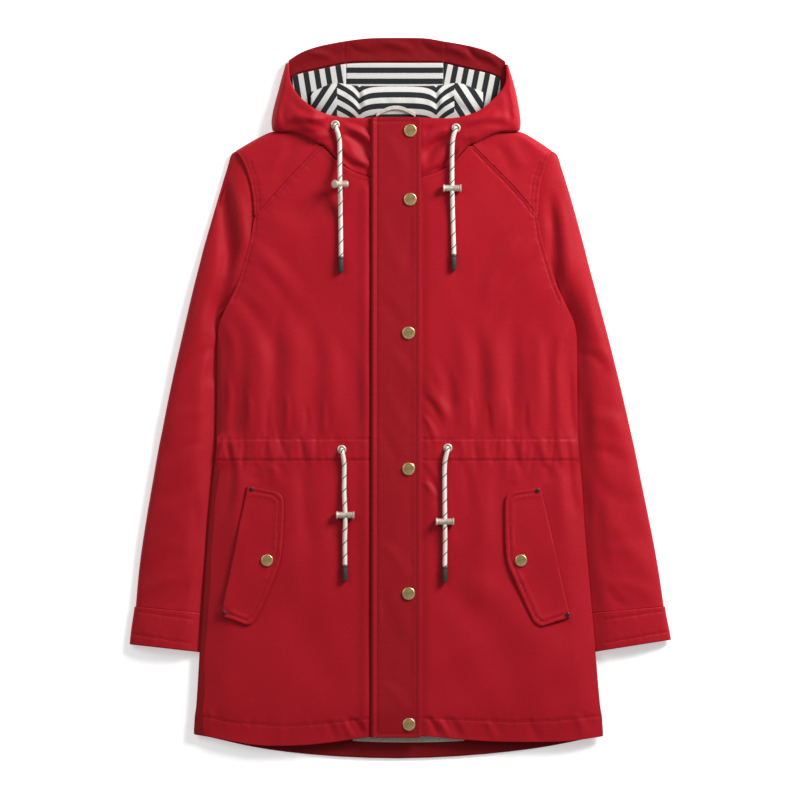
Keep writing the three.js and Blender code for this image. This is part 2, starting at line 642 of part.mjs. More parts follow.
function sleeveRing(side, t) {
  const sign = sideSign(side);
  const innerY = along(SLEEVE_STATIONS, 'inner', t);
  const outerY = along(SLEEVE_STATIONS, 'outer', t);
  const reach = tuck(innerY);
  const lap = 4 * (1 - smooth(0, 0.05, t));
  const innerX = sideEdge(side, innerY) - sign * reach;
  const outerX = read(SLEEVE_EDGES, 'y', side, outerY) - sign * lap * 0.9;
  const bowed = 1 - smooth(0, 0.42, t);
  const armpit = mix(ARMPIT, 1, smooth(0.05, 0.5, t));
  const chord = Math.hypot(outerX - innerX, outerY - innerY);
  return {
    side,
    width: chord,
    tuck: reach,
    relief: smooth(0, 0.08, t),
    crest: SLEEVE_CREST - 2.4 * smooth(0.75, 1, t),
    point(u, inset) {
      const held = mix((inset * armpit) / chord, 1 - inset / chord, u);
      const y = mix(innerY, outerY - lap * 0.8, held);
      const straight = mix(innerX, outerX, held);
      const armY = mix(103, 321, held);
      const bow = armhole(side, armY) - mix(armhole(side, 103), armhole(side, 321), held);
      return { x: straight + bow * bowed - sign * lap * 0.3, y };
    },
  };
}

function cuffRing(side, t) {
  const sign = sideSign(side);
  const outerX = along(CUFF_STATIONS, side + 'OuterX', t);
  const outerY = along(CUFF_STATIONS, side + 'OuterY', t);
  const innerY = along(CUFF_STATIONS, 'innerY', t);
  const innerX = sideEdge(side, innerY) - sign * 16;
  const chord = Math.hypot(outerX - innerX, outerY - innerY);
  return {
    side,
    width: chord,
    tuck: 16,
    relief: 0,
    crest: 14.2,
    point(u, inset) {
      const held = mix(inset / chord, 1 - inset / chord, u);
      return { x: mix(innerX, outerX, held), y: mix(innerY, outerY, held) };
    },
  };
}

function makeTube(ringAt, places) {
  const rings = places.map((t) => ringAt(t));
  const outerPoint = (ring, k) => shellRing(ring, k, 0);
  const innerPoint = (ring, k) => shellRing(ring, k, CLOTH);
  return tubeWall(rings, outerPoint, innerPoint, AROUND);
}

// The hood

function hoodPoint(sections) {
  return (v, u) => {
    const at = (column) => along(sections, column, u);
    const out = new THREE.Vector2(at('outX'), at('outY'));
    const rim = new THREE.Vector2(at('rimX'), at('rimY'));
    const span = out.distanceTo(rim);
    const roll = Math.min(9, span * 0.45);
    const turn = clamp(v / 0.35, 0, 1);
    const rest = clamp((v - 0.35) / 0.65, 0, 1);
    const share = (roll / span) * (1 - Math.cos((turn * Math.PI) / 2));
    const w = mix(share, 1, rest);
    const place = out.lerp(rim, w);
    const rise = mix(at('foot'), at('crest'), Math.sin((turn * Math.PI) / 2));
    const z = mix(rise, at('rimTop'), rest * rest) - (v > 0.99 ? 1.2 : 0);
    return new THREE.Vector3(place.x, place.y, z);
  };
}

function makeHoodSide(sections) {
  const rows = [0, 0.09, 0.18, 0.35, 0.52, 0.68, 0.84, 0.95, 1];
  return wall(rows, steps(2 * (sections.length - 1)), hoodPoint(sections), CLOTH);
}

// Flat layers of the open hood, between two places across at the far edge and two at the near one
function hoodLayer(across, lowAt, highAt, top, thickness, columns) {
  const surface = (v, u) => {
    const farX = mix(across.farFrom, across.farTo, u);
    const nearX = mix(across.nearFrom ?? across.farFrom, across.nearTo ?? across.farTo, u);
    const x = mix(nearX, farX, v);
    const y = mix(lowAt(x), highAt(farX), v);
    return new THREE.Vector3(x, y, top(x, y));
  };
  return wall(steps(4), steps(columns), surface, thickness);
}

const farEdge = (x) => read(HOOD_FAR_EDGE, 'x', 'far', x);
const bandEdge = (x) => read(HOOD_FAR_EDGE, 'x', 'band', x);
const HOOD_SEAM_LEFT = -70;
const HOOD_SEAM_RIGHT = 56;
const HOOD_FLOOR_TOP = 2.4;
const NAPE_Y = BACK_TOP_Y + SEAM_GAP;

function makeHoodBack(across) {
  const high = (x) => farEdge(x) - 1;
  return hoodLayer(across, () => NAPE_Y, high, () => HOOD_FLOOR_TOP, HOOD_FLOOR_TOP, 8);
}

function makeFacing() {
  const high = (x) => farEdge(x) - 0.5;
  const top = (x, y) => 4.9 + 2.2 * smooth(bandEdge(x), farEdge(x), y) ** 2;
  const across = { nearFrom: -146.5, farFrom: -144.5, nearTo: 138.5, farTo: 137 };
  return hoodLayer(across, bandEdge, high, top, CLOTH, 28);
}

// Lining sheets lie on the hood's underside, up to the facing. The middle one ends under the neck
// roll, and the side ones go on under the near rim.
const LINING_MIDDLE_LOW = 398;
const LINING_SIDE_LOW = 374;
const LINING_SHORT = 2.2;     // they end this far from the facing

function makeLining(farFrom, farTo, low) {
  const high = (x) => bandEdge(x) - LINING_SHORT;
  const top = () => HOOD_FLOOR_TOP + SEAM_GAP + THIN_CLOTH + 0.2;
  return hoodLayer({ farFrom, farTo }, () => low, high, top, THIN_CLOTH, 8);
}

// The lining's neck part stands up in a soft roll, a little higher beside each V crease
const NECK_ROLL = {
  near: 358, far: 404, low: HOOD_FLOOR_TOP + 2 * THIN_CLOTH + 3 * SEAM_GAP, crest: 12.2,
  left: -116, right: 108, leftPeak: -84, rightPeak: 74, peak: 4.8, ends: 0.12,
};

function neckRollPoint(v, u) {
  const { near, far, low, crest, left, right, leftPeak, rightPeak, peak, ends } = NECK_ROLL;
  const x = mix(left, right, u);
  const middle = smooth(0, ends, u) * smooth(0, ends, 1 - u);
  const peaks = Math.exp(-(((x - leftPeak) / 16) ** 2)) + Math.exp(-(((x - rightPeak) / 16) ** 2));
  const farY = far - 5 + 8 * middle + peak * peaks;
  const nearY = near + (1 - middle) * 16;
  const swell = Math.sin(Math.PI * clamp(v * 1.1, 0, 1)) ** 0.8;
  const z = low + (crest - low) * swell * (0.45 + 0.55 * middle);
  return new THREE.Vector3(x, mix(farY, nearY, v), z);
}

const makeNeckRoll = () => wall(steps(8), steps(18), neckRollPoint, THIN_CLOTH);

// The height of the neck roll's top at one place
function neckRollTop(x, y) {
  const u = (x - NECK_ROLL.left) / (NECK_ROLL.right - NECK_ROLL.left);
  const far = neckRollPoint(0, u).y;
  const near = neckRollPoint(1, u).y;
  return neckRollPoint((far - y) / (far - near), u).z;
}

const HANGER = { fromX: -31, toX: 20, y: 369, rise: 10, width: 5 };

function makeHanger() {
  const surface = (v, u) => {
    const x = mix(HANGER.fromX, HANGER.toX, u);
    const middle = HANGER.y + HANGER.rise * Math.sin(Math.PI * u);
    const y = middle + mix(-HANGER.width / 2, HANGER.width / 2, v);
    return new THREE.Vector3(x, y, neckRollTop(x, y) + 2 * SEAM_GAP + THIN_CLOTH);
  };
  return wall(steps(2), steps(12), surface, THIN_CLOTH);
}

// The placket, with a narrow folded ridge along its left edge

const PLACKET = { left: -37.7, ridge: -31, right: 27.3, top: 366.6, foot: -440.5, thickness: 2.2 };

function upperTop(x, y) {
  return y < HEM_START ? FRONT_TOP - hemDrop(x, y) : FRONT_TOP + smooth(300, 366, y);
}

const placketTop = (x, y) => upperTop(x, y) + SEAM_GAP + 0.1 + PLACKET.thickness;

function makePlacket() {
  const columns = [
    { x: PLACKET.left, rise: 0.4 },
    { x: PLACKET.left + 2, rise: 1.5 },
    { x: PLACKET.ridge - 1.5, rise: 1.5 },
    { x: PLACKET.ridge, rise: 0 },
    { x: -20, rise: 0 },
    { x: 0, rise: 0.2 },
    { x: 16, rise: 0 },
    { x: PLACKET.right - 3, rise: 0.3 },
    { x: PLACKET.right, rise: -0.2 },
  ];
  const hemRows = HEM_ROWS.map((share) => mix(PLACKET.foot, HEM_START, share));
  const rows = [...hemRows, ...steps(12, HEM_START, 355), 361, 365, PLACKET.top];
  const place = (rise) => (y, u) => {
    const column = columns[Math.round(u * (columns.length - 1))];
    const top = placketTop(column.x, y) + rise * column.rise;
    return new THREE.Vector3(column.x, y, top);
  };
  return wall(rows, steps(8), place(1), PLACKET.thickness, place(0), 1);
}

// The pocket flaps, sewn along the slanted edge nearer the side

const FLAPS = {
  left: [
    { hingeX: -198, hingeY: -113, freeX: -159, freeY: -121 },
    { hingeX: -200.5, hingeY: -125, freeX: -151, freeY: -131 },
    { hingeX: -208, hingeY: -160, freeX: -152, freeY: -168 },
    { hingeX: -216, hingeY: -200, freeX: -155, freeY: -209 },
    { hingeX: -224, hingeY: -238, freeX: -170, freeY: -249 },
    { hingeX: -231, hingeY: -271, freeX: -187, freeY: -287 },
    { hingeX: -233, hingeY: -282, freeX: -198, freeY: -294.5 },
  ],
  right: [
    { hingeX: 183, hingeY: -115, freeX: 143, freeY: -121 },
    { hingeX: 185.5, hingeY: -127, freeX: 136, freeY: -131 },
    { hingeX: 194, hingeY: -162, freeX: 136.5, freeY: -168 },
    { hingeX: 203, hingeY: -202, freeX: 138, freeY: -209 },
    { hingeX: 211, hingeY: -240, freeX: 155, freeY: -250 },
    { hingeX: 219, hingeY: -273, freeX: 172.5, freeY: -289 },
    { hingeX: 221.5, hingeY: -283.5, freeX: 183.5, freeY: -296 },
  ],
};
const FLAP_THICKNESS = 2;
const FLAP_CLEAR = 0.7;

const flapTop = (x, y) => frontTop(x, y) + FLAP_CLEAR + FLAP_THICKNESS;

function makeFlap(side) {
  const surface = (v, u) => {
    const x = mix(along(FLAPS[side], 'hingeX', v), along(FLAPS[side], 'freeX', v), u);
    const y = mix(along(FLAPS[side], 'hingeY', v), along(FLAPS[side], 'freeY', v), u);
    return new THREE.Vector3(x, y, flapTop(x, y));
  };
  return wall(steps(12), steps(6), surface, FLAP_THICKNESS);
}

function makeHemLining() {
  const surface = (v, u) => {
    const x = mix(-62, 84, u);
    return new THREE.Vector3(x, mix(-446.5 + 0.0004 * (x - 10) ** 2, -418, v), 4.2);
  };
  return wall(steps(2), steps(8), surface, THIN_CLOTH);
}

// Snaps, eyelets and rivets, turned about their own axes

function turned(profile, sides) {
  const points = profile.map(([radius, z]) => new THREE.Vector2(radius, z));
  const geometry = new THREE.LatheGeometry(points, sides);
  geometry.rotateX(Math.PI / 2);
  geometry.deleteAttribute('normal');
  geometry.deleteAttribute('uv');
  const merged = mergeVertices(geometry, 1e-4);
  merged.computeVertexNormals();
  return merged;
}

function snapShape(radius) {
  return turned([
    [0, 0], [radius, 0], [radius, 0.9], [radius * 0.86, 1.7], [radius * 0.55, 2.0],
    [0, 1.6],
  ], 12);
}

function ringShape(radius) {
  const hole = radius * 0.55;
  return turned([
    [hole, 0], [radius, 0], [radius * 0.8, 1.2], [hole, 0.7], [hole, 0],
  ], 12);
}

const rivetShape = () => turned([[0, 0], [2.8, 0], [2.5, 0.8], [0, 1.2]], 8);

// Drawcords: each route is a list of points along its centre, from the eyelet to the tip

const CORDS = {
  hood_left: {
    eyelet: [-84.2, 356.6, 20.3],
    toggle: { at: 7, tilt: 50 },
    route: [
      [-83.5, 353, 24.7], [-80.5, 345, 24.0], [-78.6, 335, 23.0], [-78.2, 325, 22.4],
      [-78.2, 313, 22.4], [-78.2, 301, 24.4], [-78.1, 290, 28.1], [-78.0, 279.5, 28.8],
      [-77.8, 269, 28.2], [-77.6, 258, 24.2], [-77.5, 246, 20.8], [-77.3, 234, 19.6],
      [-77.1, 221, 19.4], [-76.9, 208, 19.5], [-76.8, 196, 19.9], [-76.8, 185, 20.2],
    ],
  },
  hood_right: {
    eyelet: [72.9, 352.4, 19.7],
    toggle: { at: 7, tilt: 0 },
    route: [
      [71.5, 349, 23.8], [69.4, 342, 23.4], [68.2, 333, 22.6], [67.8, 322, 21.8],
      [67.7, 310, 21.0], [67.7, 297, 20.8], [67.8, 285, 21.4], [67.9, 274, 21.8],
      [68.1, 263, 21.3], [68.3, 250, 20.1], [68.6, 238, 19.5], [69.0, 225, 19.4],
      [69.4, 212, 19.5], [69.8, 200, 19.9], [70.1, 188, 20.2],
    ],
  },
  waist_left: {
    eyelet: [-75.8, -65.7, 16.3],
    toggle: { at: 7, tilt: 0 },
    route: [
      [-75.2, -69, 21.2], [-73.8, -75, 21.0], [-72.6, -83, 20.4], [-72.4, -93, 19.7],
      [-72.6, -105, 19.6], [-72.6, -120, 20.2], [-71.9, -136, 21.3], [-71.2, -151, 21.8],
      [-71.2, -163, 21.3], [-71.6, -174, 20.2], [-71.8, -186, 19.6], [-71.7, -198, 19.7],
      [-71.5, -208, 20.0], [-71.5, -216, 20.2],
    ],
  },
  waist_right: {
    eyelet: [62.1, -63.7, 16.3],
    toggle: { at: 8, tilt: 0 },
    route: [
      [61.6, -67, 21.2], [60.2, -73, 21.0], [58.6, -80, 20.4], [58.0, -90, 19.7],
      [57.9, -103, 19.6], [58.0, -118, 19.6], [58.1, -132, 20.1], [58.3, -146, 21.3],
      [58.5, -159.5, 21.8], [58.6, -172, 21.3], [58.6, -184, 20.1], [58.5, -196, 19.7],
      [58.4, -208, 20.0], [58.3, -218, 20.2],
    ],
  },
};

const vector = ([x, y, z]) => new THREE.Vector3(x, y, z);

function circle(radius, sides) {
  const shape = new THREE.Shape();
  for (let i = 0; i < sides; i += 1) {
    const angle = (2 * Math.PI * i) / sides;
    const x = radius * Math.cos(angle);
    const y = radius * Math.sin(angle);
    if (i === 0) {
      shape.moveTo(x, y);
    } else {
      shape.lineTo(x, y);
    }
  }
  shape.closePath();
  return shape;
}

function makeCord(route) {
  const curve = new THREE.CatmullRomCurve3(route.map(vector), false, 'centripetal');
  const count = Math.round(curve.getLength() / (CORD_RADIUS * 5));
  return new THREE.ExtrudeGeometry(circle(CORD_RADIUS, 8), {
    steps: count, bevelEnabled: false, extrudePath: curve,
  });
}

// A shape turned about Z is laid along the given direction, with its start at the given point
function laid(geometry, from, direction) {
  const turn = new THREE.Quaternion().setFromUnitVectors(new THREE.Vector3(0, 0, 1), direction);
  geometry.applyQuaternion(turn);
  geometry.translate(from.x, from.y, from.z);
  return geometry;
}

function makeTip(route) {
  const end = vector(route[route.length - 1]);
  const direction = new THREE.Vector3(0, -1, 0);
  const start = end.clone().addScaledVector(direction, SEAM_GAP);
  const profile = [
    [0, 0], [TIP_RADIUS, 0], [TIP_RADIUS, TIP_LENGTH - 1], [TIP_RADIUS - 0.8, TIP_LENGTH],
    [0, TIP_LENGTH],
  ];
  return laid(turned(profile, 8), start, direction);
}

function asManifold(geometry) {
  return new wasm.Manifold(new wasm.Mesh({
    numProp: 3,
    vertProperties: new Float32Array(geometry.getAttribute('position').array),
    triVerts: new Uint32Array(geometry.getIndex().array),
  }));
}

function fromManifold(shape) {
  const mesh = shape.getMesh();
  const geometry = new THREE.BufferGeometry();
  geometry.setAttribute('position', new THREE.Float32BufferAttribute(mesh.vertProperties, 3));
  geometry.setIndex(Array.from(mesh.triVerts));
  geometry.computeVertexNormals();
  return geometry;
}

// A barrel with flanged ends and a bore across its middle for the cord
function makeToggle(route, toggle) {
  const half = TOGGLE_LENGTH / 2;
  const flange = TOGGLE_RADIUS + 0.5;
  const barrel = turned([
    [0, -half], [flange - 0.6, -half], [flange, -half + 0.8], [flange, -half + 2.2],
    [TOGGLE_RADIUS, -half + 3], [TOGGLE_RADIUS, half - 3], [flange, half - 2.2],
    [flange, half - 0.8], [flange - 0.6, half], [0, half],
  ], 10);
  const bore = turned([[0, -9], [TOGGLE_BORE, -9], [TOGGLE_BORE, 9], [0, 9]], 12);
  bore.rotateY(Math.PI / 2);
  const cut = fromManifold(asManifold(barrel).subtract(asManifold(bore)));
  cut.rotateY(Math.PI / 2);
  cut.rotateX(Math.PI / 2);
  cut.rotateY(THREE.MathUtils.degToRad(toggle.tilt));
  const at = route[toggle.at];
  cut.translate(at[0], at[1], at[2]);
  return cut;
}

// Colours and finishes

const FINISHES = {
  shell: { color: 0xae2029, roughness: 0.62, metalness: 0 },
  inside: { color: 0x7a1018, roughness: 0.7, metalness: 0 },
  stripe: { color: 0x8f8f8e, roughness: 0.85, metalness: 0 },
  cream: { color: 0xe1dacc, roughness: 0.85, metalness: 0 },
  brass: { color: 0xbaa270, roughness: 0.35, metalness: 1 },
  cord: { color: 0xdcd6c8, roughness: 0.85, metalness: 0 },
  tip: { color: 0x2b2a28, roughness: 0.45, metalness: 0 },
  rivet: { color: 0x3a3a37, roughness: 0.4, metalness: 0.6 },
};

const raincoat = new THREE.Group();
raincoat.name = 'raincoat';

function add(name, geometry, finish, at = [0, 0, 0], lean = 0) {
  const mesh = new THREE.Mesh(geometry, new THREE.MeshStandardMaterial(FINISHES[finish]));
  mesh.name = name;
  mesh.position.set(...at);
  mesh.rotation.x = lean;
  raincoat.add(mesh);
}

add('back', makeBack(), 'shell');
for (const side of ['left', 'right']) {
  add(`front_${side}`, makeFront(side), 'shell');
  add(`yoke_${side}`, makeYoke(side), 'shell');
  add(`sleeve_${side}`, makeTube((t) => sleeveRing(side, t), SLEEVE_RINGS), 'shell');
  add(`cuff_${side}`, makeTube((t) => cuffRing(side, t), steps(4)), 'shell');
  add(`pocket_flap_${side}`, makeFlap(side), 'shell');
}
add('placket', makePlacket(), 'shell');
add('lining_hem', makeHemLining(), 'cream');

add('hood_left', makeHoodSide(HOOD_LEFT_SECTIONS), 'shell');
add('hood_right', makeHoodSide(HOOD_RIGHT_SECTIONS), 'shell');
const LEFT_BACK = { nearFrom: -159, farFrom: -143, farTo: HOOD_SEAM_LEFT - SEAM_GAP };
const RIGHT_BACK = { farFrom: HOOD_SEAM_RIGHT + SEAM_GAP, nearTo: 149, farTo: 135 };
add('hood_left_back', makeHoodBack(LEFT_BACK), 'shell');
add('hood_centre', makeHoodBack({ farFrom: HOOD_SEAM_LEFT, farTo: HOOD_SEAM_RIGHT }), 'shell');
add('hood_right_back', makeHoodBack(RIGHT_BACK), 'shell');
add('hood_facing', makeFacing(), 'shell');
add('lining_left', makeLining(-140, HOOD_SEAM_LEFT - SEAM_GAP, LINING_SIDE_LOW), 'stripe');
add('lining_centre', makeLining(HOOD_SEAM_LEFT, HOOD_SEAM_RIGHT, LINING_MIDDLE_LOW), 'stripe');
add('lining_right', makeLining(HOOD_SEAM_RIGHT + SEAM_GAP, 130.5, LINING_SIDE_LOW), 'stripe');
add('lining_neck', makeNeckRoll(), 'stripe');
add('hanger_loop', makeHanger(), 'cream');

const SNAPS = [
  { x: 13.5, y: 349 }, { x: 13.3, y: 259.6 }, { x: 11.1, y: 85.8 },
  { x: 11.2, y: -91 }, { x: 11.2, y: -253.1 }, { x: 11.7, y: -423 },
];
SNAPS.forEach(({ x, y }, i) => {
  const rise = placketTop(x, y + SNAP_RADIUS) - placketTop(x, y - SNAP_RADIUS);
  const lean = Math.atan(rise / (2 * SNAP_RADIUS));
  add(`snap_${i + 1}`, snapShape(SNAP_RADIUS), 'brass', [x, y, placketTop(x, y) + 0.6], lean);
});

const FLAP_SNAPS = { left: [-172.9, -209.8], right: [157.3, -210] };
const RIVETS = {
  left: [[-193, -117.5], [-229, -278.5]],
  right: [[179, -119], [218, -280.5]],
};
for (const side of ['left', 'right']) {
  const [x, y] = FLAP_SNAPS[side];
  add(`flap_snap_${side}`, snapShape(FLAP_SNAP_RADIUS), 'brass', [x, y, flapTop(x, y) + 0.5]);
  RIVETS[side].forEach(([rx, ry], i) => {
    add(`flap_rivet_${side}_${i + 1}`, rivetShape(), 'rivet', [rx, ry, flapTop(rx, ry) + 0.35]);
  });
}

for (const [place, cord] of Object.entries(CORDS)) {
  add(`eyelet_${place}`, ringShape(EYELET_RADIUS), 'brass', cord.eyelet);
  add(`cord_${place}`, makeCord(cord.route), 'cord');
  add(`toggle_${place}`, makeToggle(cord.route, cord.toggle), 'brass');
  add(`cord_tip_${place}`, makeTip(cord.route), 'tip');
}

export default raincoat;
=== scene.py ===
# A hooded raincoat laid flat, face up, on a pale floor.
# The tables are in millimetres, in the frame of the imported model; Blender's objects are in metres.
import math

import bmesh
import bpy
import numpy as np
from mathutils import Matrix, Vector
from mathutils.bvhtree import BVHTree


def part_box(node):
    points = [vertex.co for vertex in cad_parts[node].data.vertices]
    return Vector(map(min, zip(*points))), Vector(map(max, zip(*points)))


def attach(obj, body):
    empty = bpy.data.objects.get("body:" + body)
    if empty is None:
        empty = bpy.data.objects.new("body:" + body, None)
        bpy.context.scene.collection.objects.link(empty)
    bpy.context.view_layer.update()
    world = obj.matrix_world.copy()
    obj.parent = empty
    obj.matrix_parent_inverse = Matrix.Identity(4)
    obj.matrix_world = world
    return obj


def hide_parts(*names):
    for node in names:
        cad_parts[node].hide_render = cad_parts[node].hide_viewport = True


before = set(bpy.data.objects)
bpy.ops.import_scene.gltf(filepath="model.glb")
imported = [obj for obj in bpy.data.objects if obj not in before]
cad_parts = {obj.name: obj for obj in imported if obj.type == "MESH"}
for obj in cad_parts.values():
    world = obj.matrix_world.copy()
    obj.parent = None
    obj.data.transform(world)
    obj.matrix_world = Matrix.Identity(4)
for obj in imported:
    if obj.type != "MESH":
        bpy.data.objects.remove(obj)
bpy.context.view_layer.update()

MM = 0.001
SIDES = ("left", "right")  # the viewer's
CENTRE_X = -5  # the middle of the coat, between the two fronts
IMAGE_WIDTH_M = 1.04  # the width of the floor that the picture shows

# Camera, straight above the coat

camera_data = bpy.data.cameras.new("camera")
camera_data.type = "ORTHO"
camera_data.ortho_scale = IMAGE_WIDTH_M
camera = bpy.data.objects.new("camera", camera_data)
camera.location = (0, -0.0013, 6.0)
bpy.context.scene.collection.objects.link(camera)
bpy.context.scene.camera = camera

# Tables of the drawcords: the centre of each, from its eyelet to its tip

CORD_RADIUS = 2.9
TIP_LENGTH = 20
CORDS = {
    "hood_left": {
        "eyelet": (-84.2, 356.6, 20.3), "toggle": 7, "tilt": 50,
        "route": [
            (-84.0, 357.2, 21.7), (-83.5, 353, 24.6), (-80.5, 345, 24.0), (-78.6, 335, 23.0),
            (-78.2, 325, 22.4), (-78.2, 313, 22.4), (-78.2, 301, 24.4), (-78.1, 290, 28.1),
            (-78.0, 279.5, 28.8), (-77.8, 269, 28.2), (-77.6, 258, 24.2), (-77.5, 246, 20.8),
            (-77.3, 234, 19.6), (-77.1, 221, 19.4), (-76.9, 208, 19.5), (-76.8, 196, 19.9),
            (-76.8, 185, 20.2),
        ],
    },
    "hood_right": {
        "eyelet": (72.9, 352.4, 19.7), "toggle": 7, "tilt": 0,
        "route": [
            (72.3, 353, 21.0), (71.5, 349, 23.7), (69.4, 342, 23.4), (68.2, 333, 22.6),
            (67.8, 322, 21.8), (67.7, 310, 21.0), (67.7, 297, 20.8), (67.8, 285, 21.4),
            (67.9, 274, 21.8), (68.1, 263, 21.3), (68.3, 250, 20.1), (68.6, 238, 19.5),
            (69.0, 225, 19.4), (69.4, 212, 19.5), (69.8, 200, 19.9), (70.1, 188, 20.2),
        ],
    },
    "waist_left": {
        "eyelet": (-75.8, -65.7, 16.3), "toggle": 7, "tilt": 0,
        "route": [
            (-75.6, -65.0, 18.3), (-75.2, -69, 21.1), (-73.8, -75, 21.0), (-72.6, -83, 20.4),
            (-72.4, -93, 19.7), (-72.6, -105, 19.6), (-72.6, -120, 20.2), (-71.9, -136, 21.3),
            (-71.2, -151, 21.8), (-71.2, -163, 21.3), (-71.6, -174, 20.2), (-71.8, -186, 19.6),
            (-71.7, -198, 19.7), (-71.5, -208, 20.0), (-71.5, -216, 20.2),
        ],
    },
    "waist_right": {
        "eyelet": (62.1, -63.7, 16.3), "toggle": 8, "tilt": 0,
        "route": [
            (62.0, -63.0, 18.3), (61.6, -67, 21.1), (60.2, -73, 21.0), (58.6, -80, 20.4),
            (58.0, -90, 19.7), (57.9, -103, 19.6), (58.0, -118, 19.6), (58.1, -132, 20.1),
            (58.3, -146, 21.3), (58.5, -159.5, 21.8), (58.6, -172, 21.3), (58.6, -184, 20.1),
            (58.5, -196, 19.7), (58.4, -208, 20.0), (58.3, -218, 20.2),
        ],
    },
}

# Creases: soft ridges (height above 0) and troughs (below 0), each along a bowed line.
# Columns: x0, y0, x1, y1, bow, half width, height.

BODY_CREASES = [
    # above the waist, left
    (-184, 92, -188, -44, 5, 14, 2.4), (-134, 96, -139, -44, -5, 13, 2.2),
    (-88, 70, -90, -36, 4, 12, 1.6), (-208, 70, -213, -46, 3, 9, -1.8),
    (-159, 104, -162, -46, -4, 10, -1.7), (-111, 84, -113, -46, 4, 10, -1.4),
    (-223, 26, -227, -46, 2, 5, 1.3), (-197, 6, -199, -46, 2, 5, 1.0),
    (-172, -6, -173, -46, -1, 4, -0.9), (-147, 2, -149, -46, 1, 4, 0.9),
    (-122, -10, -123, -46, 1, 4, -0.9), (-98, -4, -99, -46, -1, 4, 0.8),
    (-60, 50, -56, -50, 3, 9, -0.8), (-64, 230, -52, 110, 6, 20, 0.7),
    (-112, 226, -104, 110, -5, 22, -0.8),
    # above the waist, right
    (44, 44, 54, -40, 3, 9, 1.4), (78, 84, 80, -44, 5, 12, 1.9), (128, 96, 127, -44, -5, 14, 2.4),
    (176, 86, 175, -46, 4, 12, 2.1), (207, 66, 210, -46, -3, 8, 1.5),
    (101, 86, 103, -46, 4, 10, -1.6), (152, 78, 150, -46, -4, 10, -1.7),
    (192, 50, 191, -46, 2, 7, -1.3), (221, 30, 225, -48, -2, 5, -1.4),
    (64, 30, 64, -40, 2, 7, -1.2), (90, 0, 91, -46, 1, 4, 0.8), (114, -8, 115, -46, 1, 4, -0.9),
    (139, 0, 139, -46, 1, 4, 0.9), (164, -6, 164, -46, -1, 4, -0.9),
    (60, 235, 54, 110, -6, 20, 0.7),
    # beside the storm flap, at the waist
    (33, 2, 56, -44, 4, 6, -1.5), (36, 24, 66, -24, -5, 8, 1.2), (31, -22, 46, -54, 2, 4, 1.1),
    (33, -92, 54, -150, 4, 6, -1.4), (31, -108, 48, -128, 1, 4, 1.2),
    (38, -84, 66, -190, -6, 10, 1.0),
    # below the waist, left
    (-219, -86, -227, -150, 3, 7, -1.2), (-205, -88, -214, -180, -4, 10, 1.1),
    (-186, -86, -190, -106, 1, 6, -1.0),
    (-168, -86, -164, -110, 2, 7, 1.1), (-146, -88, -132, -250, 6, 16, 1.0),
    (-126, -88, -116, -190, -4, 9, -0.9),
    (-106, -88, -96, -280, 5, 15, 0.8), (-60, -160, -44, -330, 6, 22, -0.9),
    (-170, -300, -120, -400, -8, 24, 0.9),
    # below the waist, right
    (84, -88, 88, -150, 3, 7, -0.9), (112, -88, 100, -260, 6, 15, 1.0),
    (130, -86, 124, -180, -4, 9, -0.9), (150, -86, 148, -110, 2, 6, 1.0),
    (188, -86, 192, -106, 2, 6, -1.0), (205, -88, 213, -196, 4, 10, 1.1),
    (221, -84, 227, -146, -3, 6, -1.3), (72, -256, 152, -384, 14, 24, -1.5),
    (104, -236, 192, -352, 12, 24, 1.3),
    # chest and armholes
    (-188, 196, -140, 116, 8, 12, 1.3), (-180, 168, -126, 84, 6, 11, -1.2),
    (-172, 236, -116, 200, 5, 14, 0.8), (172, 204, 126, 118, -8, 11, 1.5),
    (167, 178, 120, 100, -6, 8, -1.5), (152, 204, 110, 134, -5, 7, 1.2),
    (142, 216, 98, 152, -5, 8, -1.2), (-208, 132, -170, 56, 6, 10, -1.3),
    (200, 132, 164, 58, -6, 10, -1.3), (-226, 96, -206, 20, 4, 9, 1.2),
    (218, 96, 198, 20, -4, 9, 1.2),
    # shoulders
    (-150, 338, -172, 300, 3, 9, 0.8), (-136, 330, -160, 284, -3, 8, -0.8),
    (142, 338, 160, 302, -3, 9, 0.8), (126, 330, 148, 286, 3, 8, -0.8),
    # hem
    (-246, -404, -252, -436, 2, 6, 0.9), (-190, -418, -204, -448, 1, 5, -0.7),
    (-150, -420, -160, -450, 1, 6, 0.7), (-96, -418, -84, -444, 1, 5, -0.8),
    (-62, -416, -46, -438, 2, 4, -1.2), (-74, -416, -62, -440, -1, 4, 1.1),
    (36, -414, 48, -438, 2, 4, -1.3), (50, -416, 62, -440, 1, 4, 1.2),
    (66, -416, 78, -442, 1, 5, -1.1), (112, -418, 124, -444, 1, 5, 0.8),
    (168, -416, 180, -444, -1, 6, -0.8), (226, -410, 240, -438, 2, 6, 0.8),
]

# Where the fronts' side edges run, upwards
SIDE_ROWS = {
    "y": (-445, -313, -183, -118, -53, 77, 103),
    "left": (-268, -260, -251, -246, -238, -238, -235),
    "right": (264, 253, 241, 237, 231, 230, 227),
}

